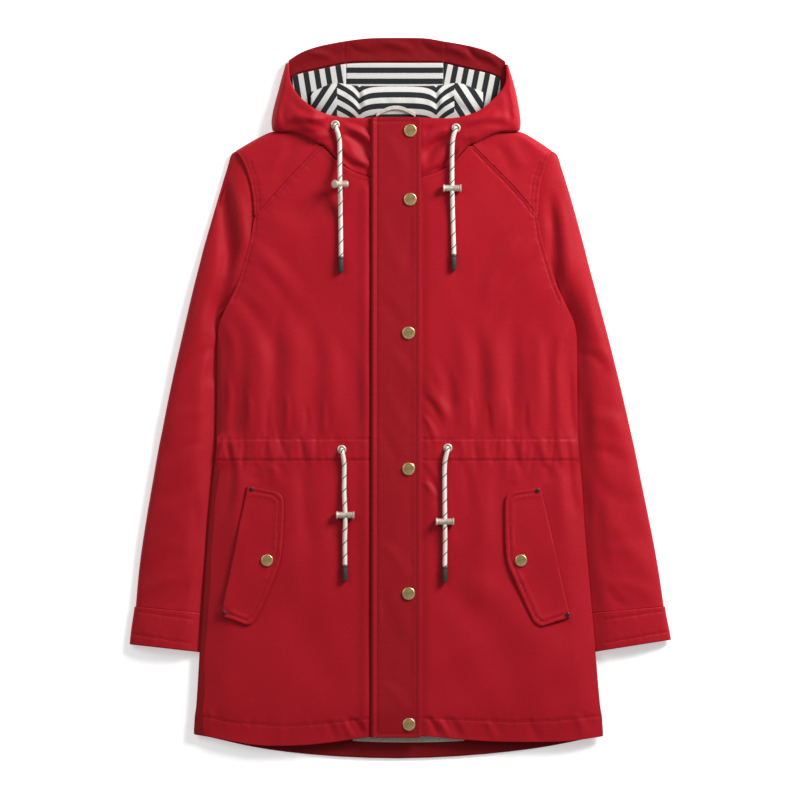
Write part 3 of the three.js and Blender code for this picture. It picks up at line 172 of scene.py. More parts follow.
# Short gathers across the drawn waist. Columns: x, lean, half width, height, reach up, reach down.
WAIST_Y = -66
GATHERS = [
    (-233, 5, 4, 1.9, 14, 26), (-224, -3, 3.5, -1.5, 12, 16), (-216, -4, 5, 1.6, 24, 20),
    (-203, 2, 3.5, -1.3, 10, 28), (-192, 6, 6, 1.5, 22, 12), (-176, 4, 4, -0.9, 16, 24),
    (-168, -3, 5.5, 1.2, 12, 30), (-152, -5, 4, -1.1, 26, 12), (-143, 2, 6, 1.0, 14, 18),
    (-126, -4, 4, -0.8, 12, 24), (-115, -3, 6, 1.0, 22, 14), (-99, 4, 4.5, 0.7, 10, 18),
    (82, -3, 4.5, 0.8, 12, 18), (97, -4, 4, -0.8, 18, 14), (108, 2, 6, 1.1, 12, 26),
    (124, 5, 4, -1.1, 22, 14), (134, -3, 6, 1.2, 16, 22), (149, -4, 4, -0.9, 12, 26),
    (160, 2, 5.5, 1.3, 24, 14), (175, 4, 3.5, -1.2, 12, 28), (185, -5, 6, 1.5, 20, 14),
    (199, 3, 3.5, -1.4, 12, 24), (209, -3, 4.5, 1.8, 24, 18), (219, -2, 3.5, -1.2, 14, 26),
]

SLEEVE_CREASES = [
    # left: along the armhole and the inner side, then soft slants at the elbow
    (-229, 276, -221, 176, 0, 11, -7.2), (-221, 192, -238, 100, 0, 11, -6.8),
    (-238, 66, -248, 20, 3, 9, -2.0),
    (-250, 120, -282, 20, -5, 13, 1.1), (-246, 66, -284, 20, -7, 8, -1.2),
    (-250, 8, -262, -110, 5, 9, -1.6),
    (-262, -14, -304, -50, -7, 11, 1.0), (-264, -56, -304, -84, -5, 9, -0.9),
    (-266, -104, -316, -128, 7, 11, -0.8),
    (-266, -130, -276, -230, 4, 8, -1.4), (-284, -150, -316, -190, 5, 12, 0.8),
    (-282, -190, -332, -212, -7, 11, 0.8),
    (-290, -232, -338, -256, -4, 8, 0.7), (-276, -240, -302, -270, 3, 7, -0.9),
    # right
    (196, 254, 203, 146, 0, 9, -6.0), (224, 290, 240, 152, -3, 15, 1.1),
    (217, 150, 234, 40, -5, 9, -1.8), (242, 118, 272, 16, 5, 13, 1.1),
    (238, 60, 276, 22, 7, 8, -1.2), (242, 4, 254, -112, -5, 9, -1.6),
    (252, -20, 296, -54, 7, 11, 1.0), (254, -66, 298, -90, 5, 9, -0.9),
    (258, -108, 306, -136, -7, 11, -0.8), (259, -134, 268, -232, -4, 8, -1.4),
    (276, -156, 308, -198, -5, 12, 0.8), (274, -194, 324, -220, 7, 11, 0.8),
    (282, -238, 330, -260, 4, 8, 0.7), (268, -244, 294, -272, -3, 7, -0.9),
]

HOOD_CREASES = [
    # left of the neck
    (-77, 356, -36, 334, 4, 4.5, 1.9), (-70, 344, -40, 318, 4, 6, -4.2),
    (-66, 326, -38, 302, -3, 6, 2.1), (-82, 328, -52, 298, -4, 4.5, -2.2),
    (-60, 306, -36, 290, 2, 4, -1.2), (-46, 352, -38, 344, 0, 4, -1.2),
    # right of the neck
    (68, 352, 30, 330, -4, 4.5, 1.9), (60, 338, 32, 312, -4, 6.5, -4.0),
    (58, 322, 30, 296, 3, 6, 2.1), (74, 326, 46, 296, 4, 4.5, -2.1),
    (52, 300, 30, 287, -2, 4, -1.2), (40, 354, 30, 346, 0, 4, -1.1),
    # left side
    (-95, 352, -158, 352, -6, 5, -1.6), (-94, 362, -150, 366, -5, 5, 1.0),
    (-100, 368, -142, 388, 5, 4, -1.2),
    (-112, 350, -136, 372, 3, 5, 0.9), (-150, 360, -146, 404, 4, 5, -1.2),
    (-160, 364, -152, 398, -3, 4, 0.8),
    (-90, 344, -112, 344, 2, 4, 1.0),
    # right side
    (84, 350, 148, 352, 6, 5, -1.6), (84, 360, 140, 366, 5, 5, 1.0),
    (90, 368, 132, 388, -5, 4, -1.2), (102, 350, 126, 372, -3, 5, 0.9),
    (142, 360, 138, 402, -4, 5, -1.2), (151, 364, 146, 398, 3, 4, 0.8),
    (80, 342, 102, 344, -2, 4, 1.0),
]

FACING_CREASES = [
    (-118, 450, -84, 440, 2, 4.5, 1.2), (-66, 459, -30, 446, -3, 5, -1.1),
    (-22, 463, 20, 449, 3, 5, 1.3), (28, 462, 58, 444, -2, 5, -1.2), (64, 456, 92, 440, 3, 5, 1.5),
    (88, 455, 116, 434, -3, 4.5, -1.5), (112, 448, 130, 428, 2, 4, 1.2),
]

NECK_CREASES = [
    (-53, 400, -54, 378, 0, 4, -2.6), (47, 400, 47, 376, 0, 4, -2.6),
    (-70, 396, -96, 372, 2, 5, -1.4), (62, 396, 88, 372, -2, 5, -1.4),
    (-20, 392, -6, 372, 0, 6, -0.6), (16, 394, 26, 376, 0, 6, 0.6),
]

# Soft shades down the storm flap
PLACKET_CREASES = [
    (-18, 340, 6, 290, 4, 9, 0.5), (-22, 240, 8, 160, -6, 10, 0.6), (14, 232, 2, 150, 4, 7, -0.5),
    (-24, 130, 10, 60, 5, 9, -0.5), (-10, 60, 16, 20, 3, 8, 0.5), (-20, 20, 12, -40, -5, 9, 0.5),
    (-24, -40, 4, -120, 4, 8, -0.6), (6, -110, -16, -180, 4, 9, 0.6),
    (-22, -190, 12, -240, 5, 8, 0.6), (-24, -250, 6, -330, -5, 10, -0.6),
    (10, -280, -14, -360, 4, 9, 0.6), (-22, -370, 12, -410, 3, 8, 0.5),
]

# Hollows under the coat, between where it rests: all are troughs from below
UNDER_CREASES = [
    (-150, 250, -60, 60, 16, 12, 0.7), (120, 270, 70, 80, -12, 11, 0.6),
    (-30, 280, 20, 90, 14, 14, 0.5), (-190, 40, -196, -60, 4, 8, 0.8),
    (-150, 20, -158, -64, -4, 7, 0.7), (-112, 60, -106, -60, 5, 9, 0.8),
    (-66, 10, -70, -62, -3, 6, 0.6), (-20, 50, -26, -64, 4, 8, 0.7), (24, 20, 30, -60, -4, 7, 0.7),
    (72, 64, 66, -64, 5, 9, 0.8), (116, 16, 122, -62, -4, 7, 0.6), (160, 40, 154, -60, 4, 8, 0.8),
    (196, 10, 200, -64, -3, 7, 0.7), (-180, -80, -196, -240, 6, 10, 0.7),
    (-120, -84, -112, -200, -6, 8, 0.6), (-60, -80, -40, -300, 8, 13, 0.6),
    (20, -84, 12, -180, -5, 8, 0.6), (80, -80, 104, -280, 8, 12, 0.7),
    (150, -84, 144, -190, -5, 8, 0.6), (200, -80, 214, -230, 6, 10, 0.7),
    (-210, -330, -90, -400, 12, 14, 0.5), (60, -330, 190, -410, -12, 14, 0.5),
    (-236, 60, -276, 10, 6, 7, 0.6), (-250, -30, -300, -60, -6, 8, 0.6),
    (-262, -120, -312, -150, 7, 8, 0.5), (-280, -200, -330, -222, -6, 8, 0.6),
    (226, 56, 268, 6, -6, 7, 0.6), (244, -40, 290, -66, 6, 8, 0.5),
    (256, -126, 304, -160, -7, 8, 0.6), (272, -206, 322, -226, 6, 8, 0.5),
    (-120, 380, -60, 440, 9, 8, 0.5), (100, 384, 50, 444, -9, 8, 0.5),
    (-20, 380, 0, 450, 6, 9, 0.4),
]

# Seams and edges that rows of stitches follow

ARMHOLE_LEFT = [
    (-210, 318), (-202.5, 306), (-194.5, 283), (-190.5, 259), (-190, 237), (-193, 211), (-201, 182),
    (-210.5, 150), (-221, 128),
]
ARMHOLE_RIGHT = [
    (195, 318), (189.5, 306), (182, 283), (179, 259), (179.5, 237), (183, 211), (191.5, 182),
    (201.5, 150), (211, 128),
]
YOKE_LEFT = [(-186, 241), (-169, 260), (-147, 285), (-121, 312), (-106, 328)]
YOKE_RIGHT = [(176, 241), (162, 260), (139, 285), (112, 312), (97, 328)]
HEM_LEFT = [(-262, -411), (-215.8, -420.6), (-150.8, -425.1), (-92.3, -421.2), (-40, -415.2)]
HEM_RIGHT = [(29, -414.7), (91, -417.3), (145.6, -419.9), (200.2, -418.2), (259, -412)]
FLAP_LEFT = [
    (-193, -119), (-165, -125), (-157, -132), (-158, -168), (-161, -208), (-175.5, -246),
    (-191.5, -282), (-199, -288.5), (-226, -278),
]
FLAP_LEFT_HINGE = [(-205.5, -125), (-213, -160), (-220.5, -200), (-228, -238), (-232.5, -262)]
FLAP_RIGHT = [
    (178, -121), (150, -125), (142, -132), (142.5, -168), (144, -208), (160.5, -247),
    (177.5, -284), (185, -290), (214.5, -280),
]
FLAP_RIGHT_HINGE = [(189, -127), (198, -162), (207, -202), (215.5, -240), (221, -264)]
CASING_ROWS = [
    [(-235, -52), (-40, -52)], [(30, -52), (228, -52)],
    [(-237, -79.3), (-40, -79.3)], [(30, -79.3), (229, -79.3)],
]
PLACKET_ROWS = [
    [(21.3, 361), (21.3, -435)], [(18, 361), (-33, 361)],
    [(-29, 354), (-29, -435)], [(-25, -435), (17, -435)],
]
CUFF_ROWS = [
    [(-341, -276), (-270, -286.5)], [(-346, -305.5), (-273, -317.5)],
    [(340, -276), (265, -286.5)], [(346, -302.5), (268, -316.5)],
]
NECK_ROWS = [
    [(-99, 320), (-89, 309.5), (-73, 295), (-58, 289), (-40, 284.5)],
    [(88, 320), (78, 309.5), (60, 295), (45, 289), (30, 284.5)],
]
FACING_ROWS = [
    [
        (-153, 409), (-149, 416), (-143, 422), (-131, 427), (-112, 431), (-92, 435.5), (-70, 440),
        (-41, 441.2), (-3, 441.2), (35, 441.2), (56, 440.6), (81, 434.5), (105, 430), (121, 425.5),
        (134, 418.5), (141, 411),
    ],
    [(-72, 463), (-72, 443)], [(58, 463), (58, 443)],
]
BACK_HEM_ROW = [
    (-250, -421), (-150, -438), (-60, -447), (0, -448), (60, -446), (150, -436), (250, -421),
]


# Helpers for numbers


def smooth(low, high, value):
    t = np.clip((value - low) / (high - low), 0, 1)
    return t * t * (3 - 2 * t)


def hump(away, width):
    """1 on a line, and fading to both sides of it."""
    return np.exp(-((away / width) ** 2))


def crease_field(rows, x, y):
    """The height of the creases in a table at places x and y, all in mm."""
    total = np.zeros_like(x)
    for x0, y0, x1, y1, bow, width, height in rows:
        dx, dy = x1 - x0, y1 - y0
        long = math.hypot(dx, dy)
        t = ((x - x0) * dx + (y - y0) * dy) / long ** 2
        inside = (t > -0.2) & (t < 1.2)
        if not inside.any():
            continue
        t = t[inside]
        away = ((y[inside] - y0) * dx - (x[inside] - x0) * dy) / long - bow * 4 * t * (1 - t)
        broad = width * (0.8 + 0.4 * t)
        fade = smooth(-0.2, 0.25, t) * (1 - smooth(0.7, 1.2, t))
        ridge = hump(away, broad) - 0.35 * hump(away - 1.7 * broad, broad)
        total[inside] += height * fade * ridge
    return total


def gather_field(x, y):
    total = np.zeros_like(x)
    for place, lean, width, height, up, down in GATHERS:
        rise = y - WAIST_Y
        reach = np.where(rise > 0, up, down)
        middle = place + lean * rise / 20
        total += height * hump(x - middle, width) * np.exp(-np.abs(rise / reach) ** 2.2)
    return total


def near_line(points, x, y):
    """Distance from a line of points, and how far along it, for places x and y."""
    best = np.full_like(x, 1e9)
    at = np.zeros_like(x)
    start = 0.0
    for (x0, y0), (x1, y1) in zip(points, points[1:]):
        dx, dy = x1 - x0, y1 - y0
        long = math.hypot(dx, dy)
        t = np.clip(((x - x0) * dx + (y - y0) * dy) / long ** 2, 0, 1)
        away = np.hypot(x - x0 - t * dx, y - y0 - t * dy)
        closer = away < best
        best[closer] = away[closer]
        at[closer] = start + t[closer] * long
        start += long
    return best, at


def unit(vectors):
    return vectors / np.linalg.norm(vectors, axis=1)[:, None]


def beside(points, distance):
    """A line of points, moved to its left by a distance, or to its right where that is below 0."""
    p = np.array(points, float)
    ahead = unit(np.gradient(p, axis=0))
    return [tuple(q) for q in p + distance * np.stack([-ahead[:, 1], ahead[:, 0]], axis=1)]


def ripple(places, *waves):
    """Uneven waves, from the height, rate and start of each."""
    return sum(height * np.sin(places * rate + start) for height, rate, start in waves)


def sewn(rows, x, y, groove=0.6, pucker=0.16):
    """The furrow that rows of stitches pull into the cloth, with small uneven puckers beside it."""
    total = np.zeros_like(x)
    for row in rows:
        away, at = near_line(row, x, y)
        waves = ripple(at, (1, 0.31, 1.3), (0.8, 0.53, 0.4), (0.5, 0.87, 2.1))
        total -= groove * hump(away, 1.5)
        total += pucker * waves * hump(away, 6.0) * smooth(0.3, 1.6, away)
    return total


def sway(x, y):
    """Faint uneven waves all over the cloth."""
    waves = (
        (0.052, 0.021, 0.3), (0.018, 0.047, 1.9), (0.083, -0.036, 4.1), (-0.041, 0.088, 2.6),
        (0.11, 0.06, 5.2),
    )
    return sum(np.sin(a * x + b * y + c) for a, b, c in waves) * 0.13


# Meshes


def link(obj):
    bpy.context.scene.collection.objects.link(obj)
    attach(obj, "root")
    return obj


def shade_smooth(mesh):
    for polygon in mesh.polygons:
        polygon.use_smooth = True


def mesh_object(name, vertices, faces, material):
    mesh = bpy.data.meshes.new(name)
    mesh.from_pydata([tuple(v) for v in vertices], [], faces)
    mesh.update()
    shade_smooth(mesh)
    mesh.materials.append(material)
    return link(bpy.data.objects.new(name, mesh))


def quads(rings, sides, first=0):
    """The faces between rings of vertices, where first is the first ring's first vertex."""
    faces = []
    for i in range(rings - 1):
        a, b = first + i * sides, first + (i + 1) * sides
        for k in range(sides):
            n = (k + 1) % sides
            faces.append((a + k, a + n, b + n, b + k))
    return faces


def coordinates(mesh):
    co = np.zeros(len(mesh.vertices) * 3)
    mesh.vertices.foreach_get("co", co)
    return co.reshape(-1, 3) / MM


def set_coordinates(mesh, co):
    mesh.vertices.foreach_set("co", (co * MM).ravel())
    mesh.update()


def apply_modifiers(obj):
    graph = bpy.context.evaluated_depsgraph_get()
    made = bpy.data.meshes.new_from_object(obj.evaluated_get(graph))
    obj.modifiers.clear()
    obj.data = made
    return made


FLAT_JOIN = math.radians(35)  # triangles that meet more gently than this are joined
RIM_ANGLE = math.radians(48)  # edges sharper than this are rims, and keep their places
SMOOTH_LEVELS = 2
FACES_UP = 0.25  # faces whose normal rises more than this are cut finer


def fine_copy(cad_name, name, longest, firm):
    """A smooth, fine copy of a CAD node's mesh, in a new object. Its rims keep their places."""
    bm = bmesh.new()
    bm.from_mesh(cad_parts[cad_name].data)
    bmesh.ops.remove_doubles(bm, verts=bm.verts, dist=1e-5)
    bmesh.ops.join_triangles(
        bm, faces=bm.faces, angle_face_threshold=FLAT_JOIN, angle_shape_threshold=math.pi,
    )
    crease = bm.edges.layers.float.new("crease_edge")
    for edge in bm.edges:
        if len(edge.link_faces) == 2 and edge.calc_face_angle() > RIM_ANGLE:
            edge[crease] = firm
    mesh = bpy.data.meshes.new(name)
    bm.to_mesh(mesh)
    bm.free()
    obj = bpy.data.objects.new(name, mesh)
    bpy.context.scene.collection.objects.link(obj)
    modifier = obj.modifiers.new("smooth", "SUBSURF")
    modifier.levels = modifier.render_levels = SMOOTH_LEVELS
    made = apply_modifiers(obj)
    bm = bmesh.new()
    bm.from_mesh(made)
    for _ in range(4):
        long = [
            e for e in bm.edges
            if e.calc_length() > longest * MM and any(f.normal.z > FACES_UP for f in e.link_faces)
        ]
        if not long:
            break
        bmesh.ops.subdivide_edges(bm, edges=long, cuts=1, use_grid_fill=True)
    bm.to_mesh(made)
    bm.free()
    shade_smooth(made)
    return obj


LOWEST = 0.02  # creases keep this far above the floor


def cloth(
    cad_name, material, slot, field, longest=2.4, weight=None, under=False, firm=0.85, shape=None,
):
    """The piece of cloth that stands for a CAD node, with its creases pressed into it.

    Edges of its top are at most longest mm, and firm, up to 1, keeps its rims sharp. A shape moves
    the vertices. The field then gives the height of the creases, and weight fades them out where it
    is given. With under, the underside has creases of its own.
    """
    obj = fine_copy(cad_name, cad_name + "_cloth", longest, firm)
    co = coordinates(obj.data)
    if shape is not None:
        co = shape(co)
    moved = field(co[:, 0], co[:, 1])
    if weight is not None:
        moved = moved * weight(co)
    if under:
        moved = moved + under_field(co[:, 0], co[:, 1]) * (1 - smooth(0.4, 1.6, co[:, 2]))
    co[:, 2] = np.maximum(co[:, 2] + moved, LOWEST)
    set_coordinates(obj.data, co)
    obj.data.materials.clear()
    obj.data.materials.append(material)
    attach(obj, "root")
    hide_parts(cad_name)
    return obj


# Materials


def material(name):
    made = bpy.data.materials.new(name)
    made.use_nodes = True
    tree = made.node_tree
    return made, tree, tree.nodes["Principled BSDF"]


def plug(tree, made, **values):
    """Sets a node's settings and inputs, where a socket given for an input is linked to it."""
    for key, value in values.items():
        name = key.replace("_", " ")
        if name not in made.inputs:
            setattr(made, key, value)
        elif isinstance(value, bpy.types.NodeSocket):
            tree.links.new(value, made.inputs[name])
        else:
            made.inputs[name].default_value = value
    return made


def node(tree, kind, **values):
    return plug(tree, tree.nodes.new("ShaderNode" + kind), **values)


def calculated(tree, operation, *values):
    """The result of a Math node on numbers and sockets."""
    made = node(tree, "Math", operation=operation)
    for socket, value in zip(made.inputs, values):
        if isinstance(value, bpy.types.NodeSocket):
            tree.links.new(value, socket)
        else:
            socket.default_value = value
    return made.outputs[0]


def noise(tree, places, scale, detail=3.0, roughness=0.6):
    made = node(
        tree, "TexNoise", Scale=scale, Detail=detail, Roughness=roughness, Vector=places,
    )
    return made.outputs["Fac"]


def ramp(tree, source, stops):
    made = node(tree, "ValToRGB", Fac=source)
    elements = made.color_ramp.elements
    for element, (place, colour) in ((elements[0], stops[0]), (elements[1], stops[-1])):
        element.position = place
        element.color = colour
    for place, colour in stops[1:-1]:
        elements.new(place).color = colour
    return made.outputs["Color"]


def grey(value):
    return (value, value, value, 1)


def linear(r, g, b):
    def one(v):
        v /= 255
        return v / 12.92 if v <= 0.04045 else ((v + 0.055) / 1.055) ** 2.4
    return (one(r), one(g), one(b), 1)


def object_places(tree):
    return node(tree, "TexCoord").outputs["Object"]


def bump(tree, shader, height, strength, distance, over=None):
    """Bump from a height, laid over other bump where that is given."""
    made = node(tree, "Bump", Strength=strength, Distance=distance, Height=height)
    if over is not None:
        tree.links.new(over, made.inputs["Normal"])
    tree.links.new(made.outputs["Normal"], shader.inputs["Normal"])
    return made.outputs["Normal"]


def weave(tree, shader, period_mm, depth):
    """A fine over-and-under weave and a soft grain, as bump."""
    places = object_places(tree)
    scale = 0.5 / period_mm / MM / math.pi
    waves = [
        node(tree, "TexWave", bands_direction=way, Scale=scale, Vector=places).outputs["Fac"]
        for way in "XY"
    ]
    slub = noise(tree, places, 300.0)
    fine = bump(tree, shader, calculated(tree, "MULTIPLY", *waves), depth, 0.0002)
    bump(tree, shader, slub, 0.2, 0.0006, over=fine)
    return places, slub


def shell_material(name, dark, middle, light):
    made, tree, shader = material(name)
    places, slub = weave(tree, shader, 0.55, 0.25)
    patches = noise(tree, places, 9.0, roughness=0.5)
    mixed = node(tree, "Mix", data_type="FLOAT", Factor=0.5)
    tree.links.new(patches, mixed.inputs[2])
    tree.links.new(slub, mixed.inputs[3])
    plug(
        tree, shader,
        Base_Color=ramp(tree, mixed.outputs[0], [(0.25, dark), (0.5, middle), (0.75, light)]),
        Roughness=ramp(tree, patches, [(0.3, grey(0.5)), (0.7, grey(0.62))]),
        Specular_IOR_Level=0.14, Sheen_Weight=0.04, Sheen_Roughness=0.45,
        Sheen_Tint=(1.0, 0.75, 0.75, 1),
    )
    return made


SHELL = shell_material("shell", linear(151, 9, 24), linear(159, 12, 28), linear(167, 15, 32))
# A deeper copy of the shell cloth, for the back and the hood's inner panels: painted shade, for the
# shade under the fronts and inside the hood
INSIDE_SHADE = shell_material("shell_inside_painted_shade", linear(108, 4, 10), linear(116, 6, 12), linear(124, 8, 14))

# The placket and the hood's facing are copies of the shell cloth made deeper: painted shade, for the
# shade that they lie in
PLACKET_SHADE = shell_material(
    "shell_placket_painted_shade", linear(137, 8, 21), linear(144, 10, 24), linear(152, 13, 28),
)
FACING_SHADE = shell_material("shell_facing_painted_shade", linear(114, 6, 16), linear(123, 8, 19), linear(132, 10, 22))
# The thread is darker than the cloth: its own deeper red, with painted shade for the furrow it sinks
# into
THREAD_AND_SHADE = shell_material("thread_and_painted_shade", linear(118, 8, 19), linear(128, 11, 22), linear(138, 14, 26))


def stripe_material():
    made, tree, shader = material("stripes")
    places, _ = weave(tree, shader, 0.6, 0.4)
    over = node(tree, "SeparateXYZ", Vector=node(tree, "UVMap", uv_map="stripe").outputs["UV"])
    fuzz = noise(tree, places, 900.0, 2.0, 0.5)
    part = calculated(
        tree, "FRACT", calculated(tree, "MULTIPLY_ADD", fuzz, 0.05, over.outputs["Y"]),
    )
    pale, black = linear(200, 198, 194), linear(28, 30, 32)
    bands = ramp(tree, part, [
        (0.0, black), (0.02, black), (0.48, black), (0.50, pale), (0.97, pale), (1.0, black),
    ])
    mottled = node(tree, "Mix", data_type="RGBA", blend_type="MULTIPLY", Factor=0.18)
    tree.links.new(bands, mottled.inputs[6])
    tree.links.new(ramp(tree, fuzz, [(0.35, grey(0.55)), (0.65, grey(1))]), mottled.inputs[7])
    plug(
        tree, shader, Base_Color=mottled.outputs[2], Roughness=0.85, Specular_IOR_Level=0.2,
        Sheen_Weight=0.15,
    )
    return made


def cream_material():
    made, tree, shader = material("cream_cotton")
    _, slub = weave(tree, shader, 0.5, 0.4)
    colours = ramp(tree, slub, [(0.35, linear(186, 178, 165)), (0.65, linear(208, 202, 190))])
    plug(tree, shader, Base_Color=colours, Roughness=0.85, Sheen_Weight=0.15)
    return made


def metal_material(name, dark, light, roughness, brush, metallic=1.0):
    made, tree, shader = material(name)
    places = object_places(tree)
    marks = noise(tree, places, brush)
    stains = noise(tree, places, 140.0, 4.0)
    plug(
        tree, shader, Metallic=metallic,
        Base_Color=ramp(tree, stains, [(0.35, dark), (0.65, light)]),
        Roughness=ramp(tree, marks, [
            (0.3, grey(roughness - 0.08)), (0.7, grey(roughness + 0.1)),
        ]),
    )
    bump(tree, shader, marks, 0.15, 0.0001)
    return made


def cord_material():
    """Pale braid with dark dashes, which the mesh's UV places: across, and dashes along."""
    made, tree, shader = material("cord")
    uv = node(tree, "UVMap", uv_map="along").outputs["UV"]
    apart = node(tree, "SeparateXYZ", Vector=uv)
    part = calculated(
        tree, "FRACT",
        calculated(tree, "MULTIPLY_ADD", apart.outputs["X"], 1.0, apart.outputs["Y"]),
    )
    pale, dark = linear(222, 214, 204), linear(40, 38, 38)
    colours = ramp(tree, part, [
        (0.0, pale), (0.44, pale), (0.46, dark), (0.54, dark), (0.56, pale), (1.0, pale),
    ])
    plug(tree, shader, Base_Color=colours, Roughness=0.85, Sheen_Weight=0.2)
    strands = node(tree, "Mapping", Scale=(9, 9, 1), Vector=uv).outputs["Vector"]
    braid = node(tree, "TexWave", bands_direction="DIAGONAL", Scale=1.0, Vector=strands)
    bump(tree, shader, braid.outputs["Fac"], 0.5, 0.0004)
    return made


def tip_material():
    made, tree, shader = material("tip_plastic")
    marks = noise(tree, object_places(tree), 900.0, 2.0, 0.5)
    colours = ramp(tree, marks, [(0.35, linear(36, 33, 31)), (0.65, linear(58, 54, 51))])
    plug(tree, shader, Base_Color=colours, Roughness=0.38)
    bump(tree, shader, marks, 0.1, 0.0001)
    return made


STRIPES = stripe_material()
CREAM = cream_material()
SNAP_METAL = metal_material(
    "snap_brass", linear(194, 160, 104), linear(222, 194, 144), 0.34, 1800.0,
)
FITTING_METAL = metal_material(
    "fitting_brass", linear(184, 170, 150), linear(226, 214, 198), 0.34, 1500.0, 0.62,
)
RIVET_METAL = metal_material("rivet_metal", linear(48, 48, 46), linear(76, 76, 74), 0.4, 1500.0)
CORD = cord_material()
TIP = tip_material()

# Drawcords and what is on them


def curve_points(route, spacing):
    """Points at even distances along a smooth line through a route's points."""
    p = np.array(route, float)
    p = np.vstack([2 * p[0] - p[1], p, 2 * p[-1] - p[-2]])
    dense = []
    for i in range(1, len(p) - 2):
        t = np.linspace(0, 1, 24, endpoint=i == len(p) - 3)[:, None]
        a, b, c, d = p[i - 1], p[i], p[i + 1], p[i + 2]
        squared = (2 * a - 5 * b + 4 * c - d) * t ** 2
        cubed = (3 * b - 3 * c + d - a) * t ** 3
        dense.append(0.5 * (2 * b + (c - a) * t + squared + cubed))
    dense = np.vstack(dense)
    run = np.concatenate([[0], np.cumsum(np.linalg.norm(np.diff(dense, axis=0), axis=1))])
    places = np.linspace(0, run[-1], max(int(run[-1] / spacing), 2) + 1)
    return np.stack([np.interp(places, run, dense[:, k]) for k in range(3)], axis=1), run[-1]


DASH_MM = 17.0  # from one dark dash of a cord to the next
CORD_SIDES = 16


def make_cord(place, cord):
    centre, long = curve_points(cord["route"], 1.5)
    ahead = unit(np.gradient(centre, axis=0))
    side = unit(np.cross(ahead, [0, 0, 1]))
    up = np.cross(side, ahead)
    vertices = []
    for i, point in enumerate(centre):
        for k in range(CORD_SIDES):
            angle = 2 * math.pi * k / CORD_SIDES
            out = math.cos(angle) * side[i] + math.sin(angle) * up[i]
            vertices.append((point + CORD_RADIUS * out) * MM)
    ends = [tuple(reversed(range(CORD_SIDES)))]
    ends.append(tuple(range(len(vertices) - CORD_SIDES, len(vertices))))
    faces = quads(len(centre), CORD_SIDES) + ends
    step = long / (len(centre) - 1) / DASH_MM
    uvs = []
    for i in range(len(centre) - 1):
        for k in range(CORD_SIDES):
            u0, u1 = k / CORD_SIDES, (k + 1) / CORD_SIDES
            v0, v1 = i * step, (i + 1) * step
            uvs.append([(u0, v0), (u1, v0), (u1, v1), (u0, v1)])
    uvs += [[(0, 0)] * CORD_SIDES] * 2
    obj = mesh_object(f"cord_{place}_braid", vertices, faces, CORD)
    layer = obj.data.uv_layers.new(name="along")
    layer.data.foreach_set("uv", np.array([c for face in uvs for c in face]).ravel())
    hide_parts(f"cord_{place}")
    return obj, centre, long


def lathe(name, profile, segments, material, cad_name, at, axis=(0, 0, 1)):
    """A shape turned about an axis; its object stands at its middle, so its grain follows it."""
    vertices = []
    for radius, height in profile:
        for k in range(segments):
            angle = 2 * math.pi * k / segments
            x, y = radius * math.cos(angle), radius * math.sin(angle)
            vertices.append((x * MM, y * MM, height * MM))
    mesh = bpy.data.meshes.new(name)
    mesh.from_pydata(vertices, [], quads(len(profile), segments))
    bm = bmesh.new()
    bm.from_mesh(mesh)
    bmesh.ops.remove_doubles(bm, verts=bm.verts, dist=1e-7)
    bmesh.ops.recalc_face_normals(bm, faces=bm.faces)
    bm.to_mesh(mesh)
    bm.free()
    shade_smooth(mesh)
    mesh.materials.append(material)
    obj = bpy.data.objects.new(name, mesh)
    obj.rotation_mode = "QUATERNION"
    obj.rotation_quaternion = Vector((0, 0, 1)).rotation_difference(Vector(axis))
    obj.location = [v * MM for v in at]
    link(obj)
    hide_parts(cad_name)
    return obj


def foot_of(cad_name):
    """The middle of a CAD piece's foot."""
    low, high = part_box(cad_name)
    return [(low[k] + high[k]) / 2 / MM for k in range(2)] + [low.z / MM]


# Profiles: radius and height, in mm, with ON_AXIS where one starts or ends on its axis

ON_AXIS = 0.01
EYELET_PROFILE = [
    (3.3, -0.6), (3.3, 0.5), (3.6, 1.0), (4.2, 1.25), (4.9, 1.2), (5.6, 0.8), (6.0, 0.2),
    (6.0, 0.0), (3.3, -0.6),
]
TIP_PROFILE = [
    (ON_AXIS, 0.0), (3.3, 0.0), (3.55, 0.4), (3.55, 2.6), (3.35, 3.0), (3.5, 3.5),
    (3.5, TIP_LENGTH - 1.4), (3.2, TIP_LENGTH - 0.5), (2.6, TIP_LENGTH), (ON_AXIS, TIP_LENGTH),
]
RIVET_PROFILE = [
    (ON_AXIS, 0.0), (2.8, 0.0), (2.8, 0.4), (2.5, 0.85), (1.8, 1.1), (1.2, 1.15), (0.9, 1.0),
    (ON_AXIS, 1.0),
]
BARREL_HALF = 12.0
BARREL_END = [
    (4.4, 0.0), (5.15, 0.5), (5.2, 1.6), (4.6, 2.5), (4.1, 3.1), (4.1, 4.0), (4.5, 4.3), (4.5, 4.9),
    (4.2, 5.2),
]
BORE_RADIUS = 3.2
BORE_EDGE = math.radians(32)  # edges sharper than this are shaded sharp


def snap(cad_name, radius):
    profile = [
        (ON_AXIS, 0.0), (radius - 0.3, 0.0), (radius, 0.35), (radius, 0.9), (radius - 0.35, 1.4),
        (radius - 0.9, 1.72), (radius - 1.5, 1.76), (radius - 1.9, 1.6), (radius - 2.4, 1.55),
        (radius * 0.5, 1.62), (radius * 0.25, 1.66), (ON_AXIS, 1.68),
    ]
    lathe(cad_name + "_cap", profile, 56, SNAP_METAL, cad_name, foot_of(cad_name))


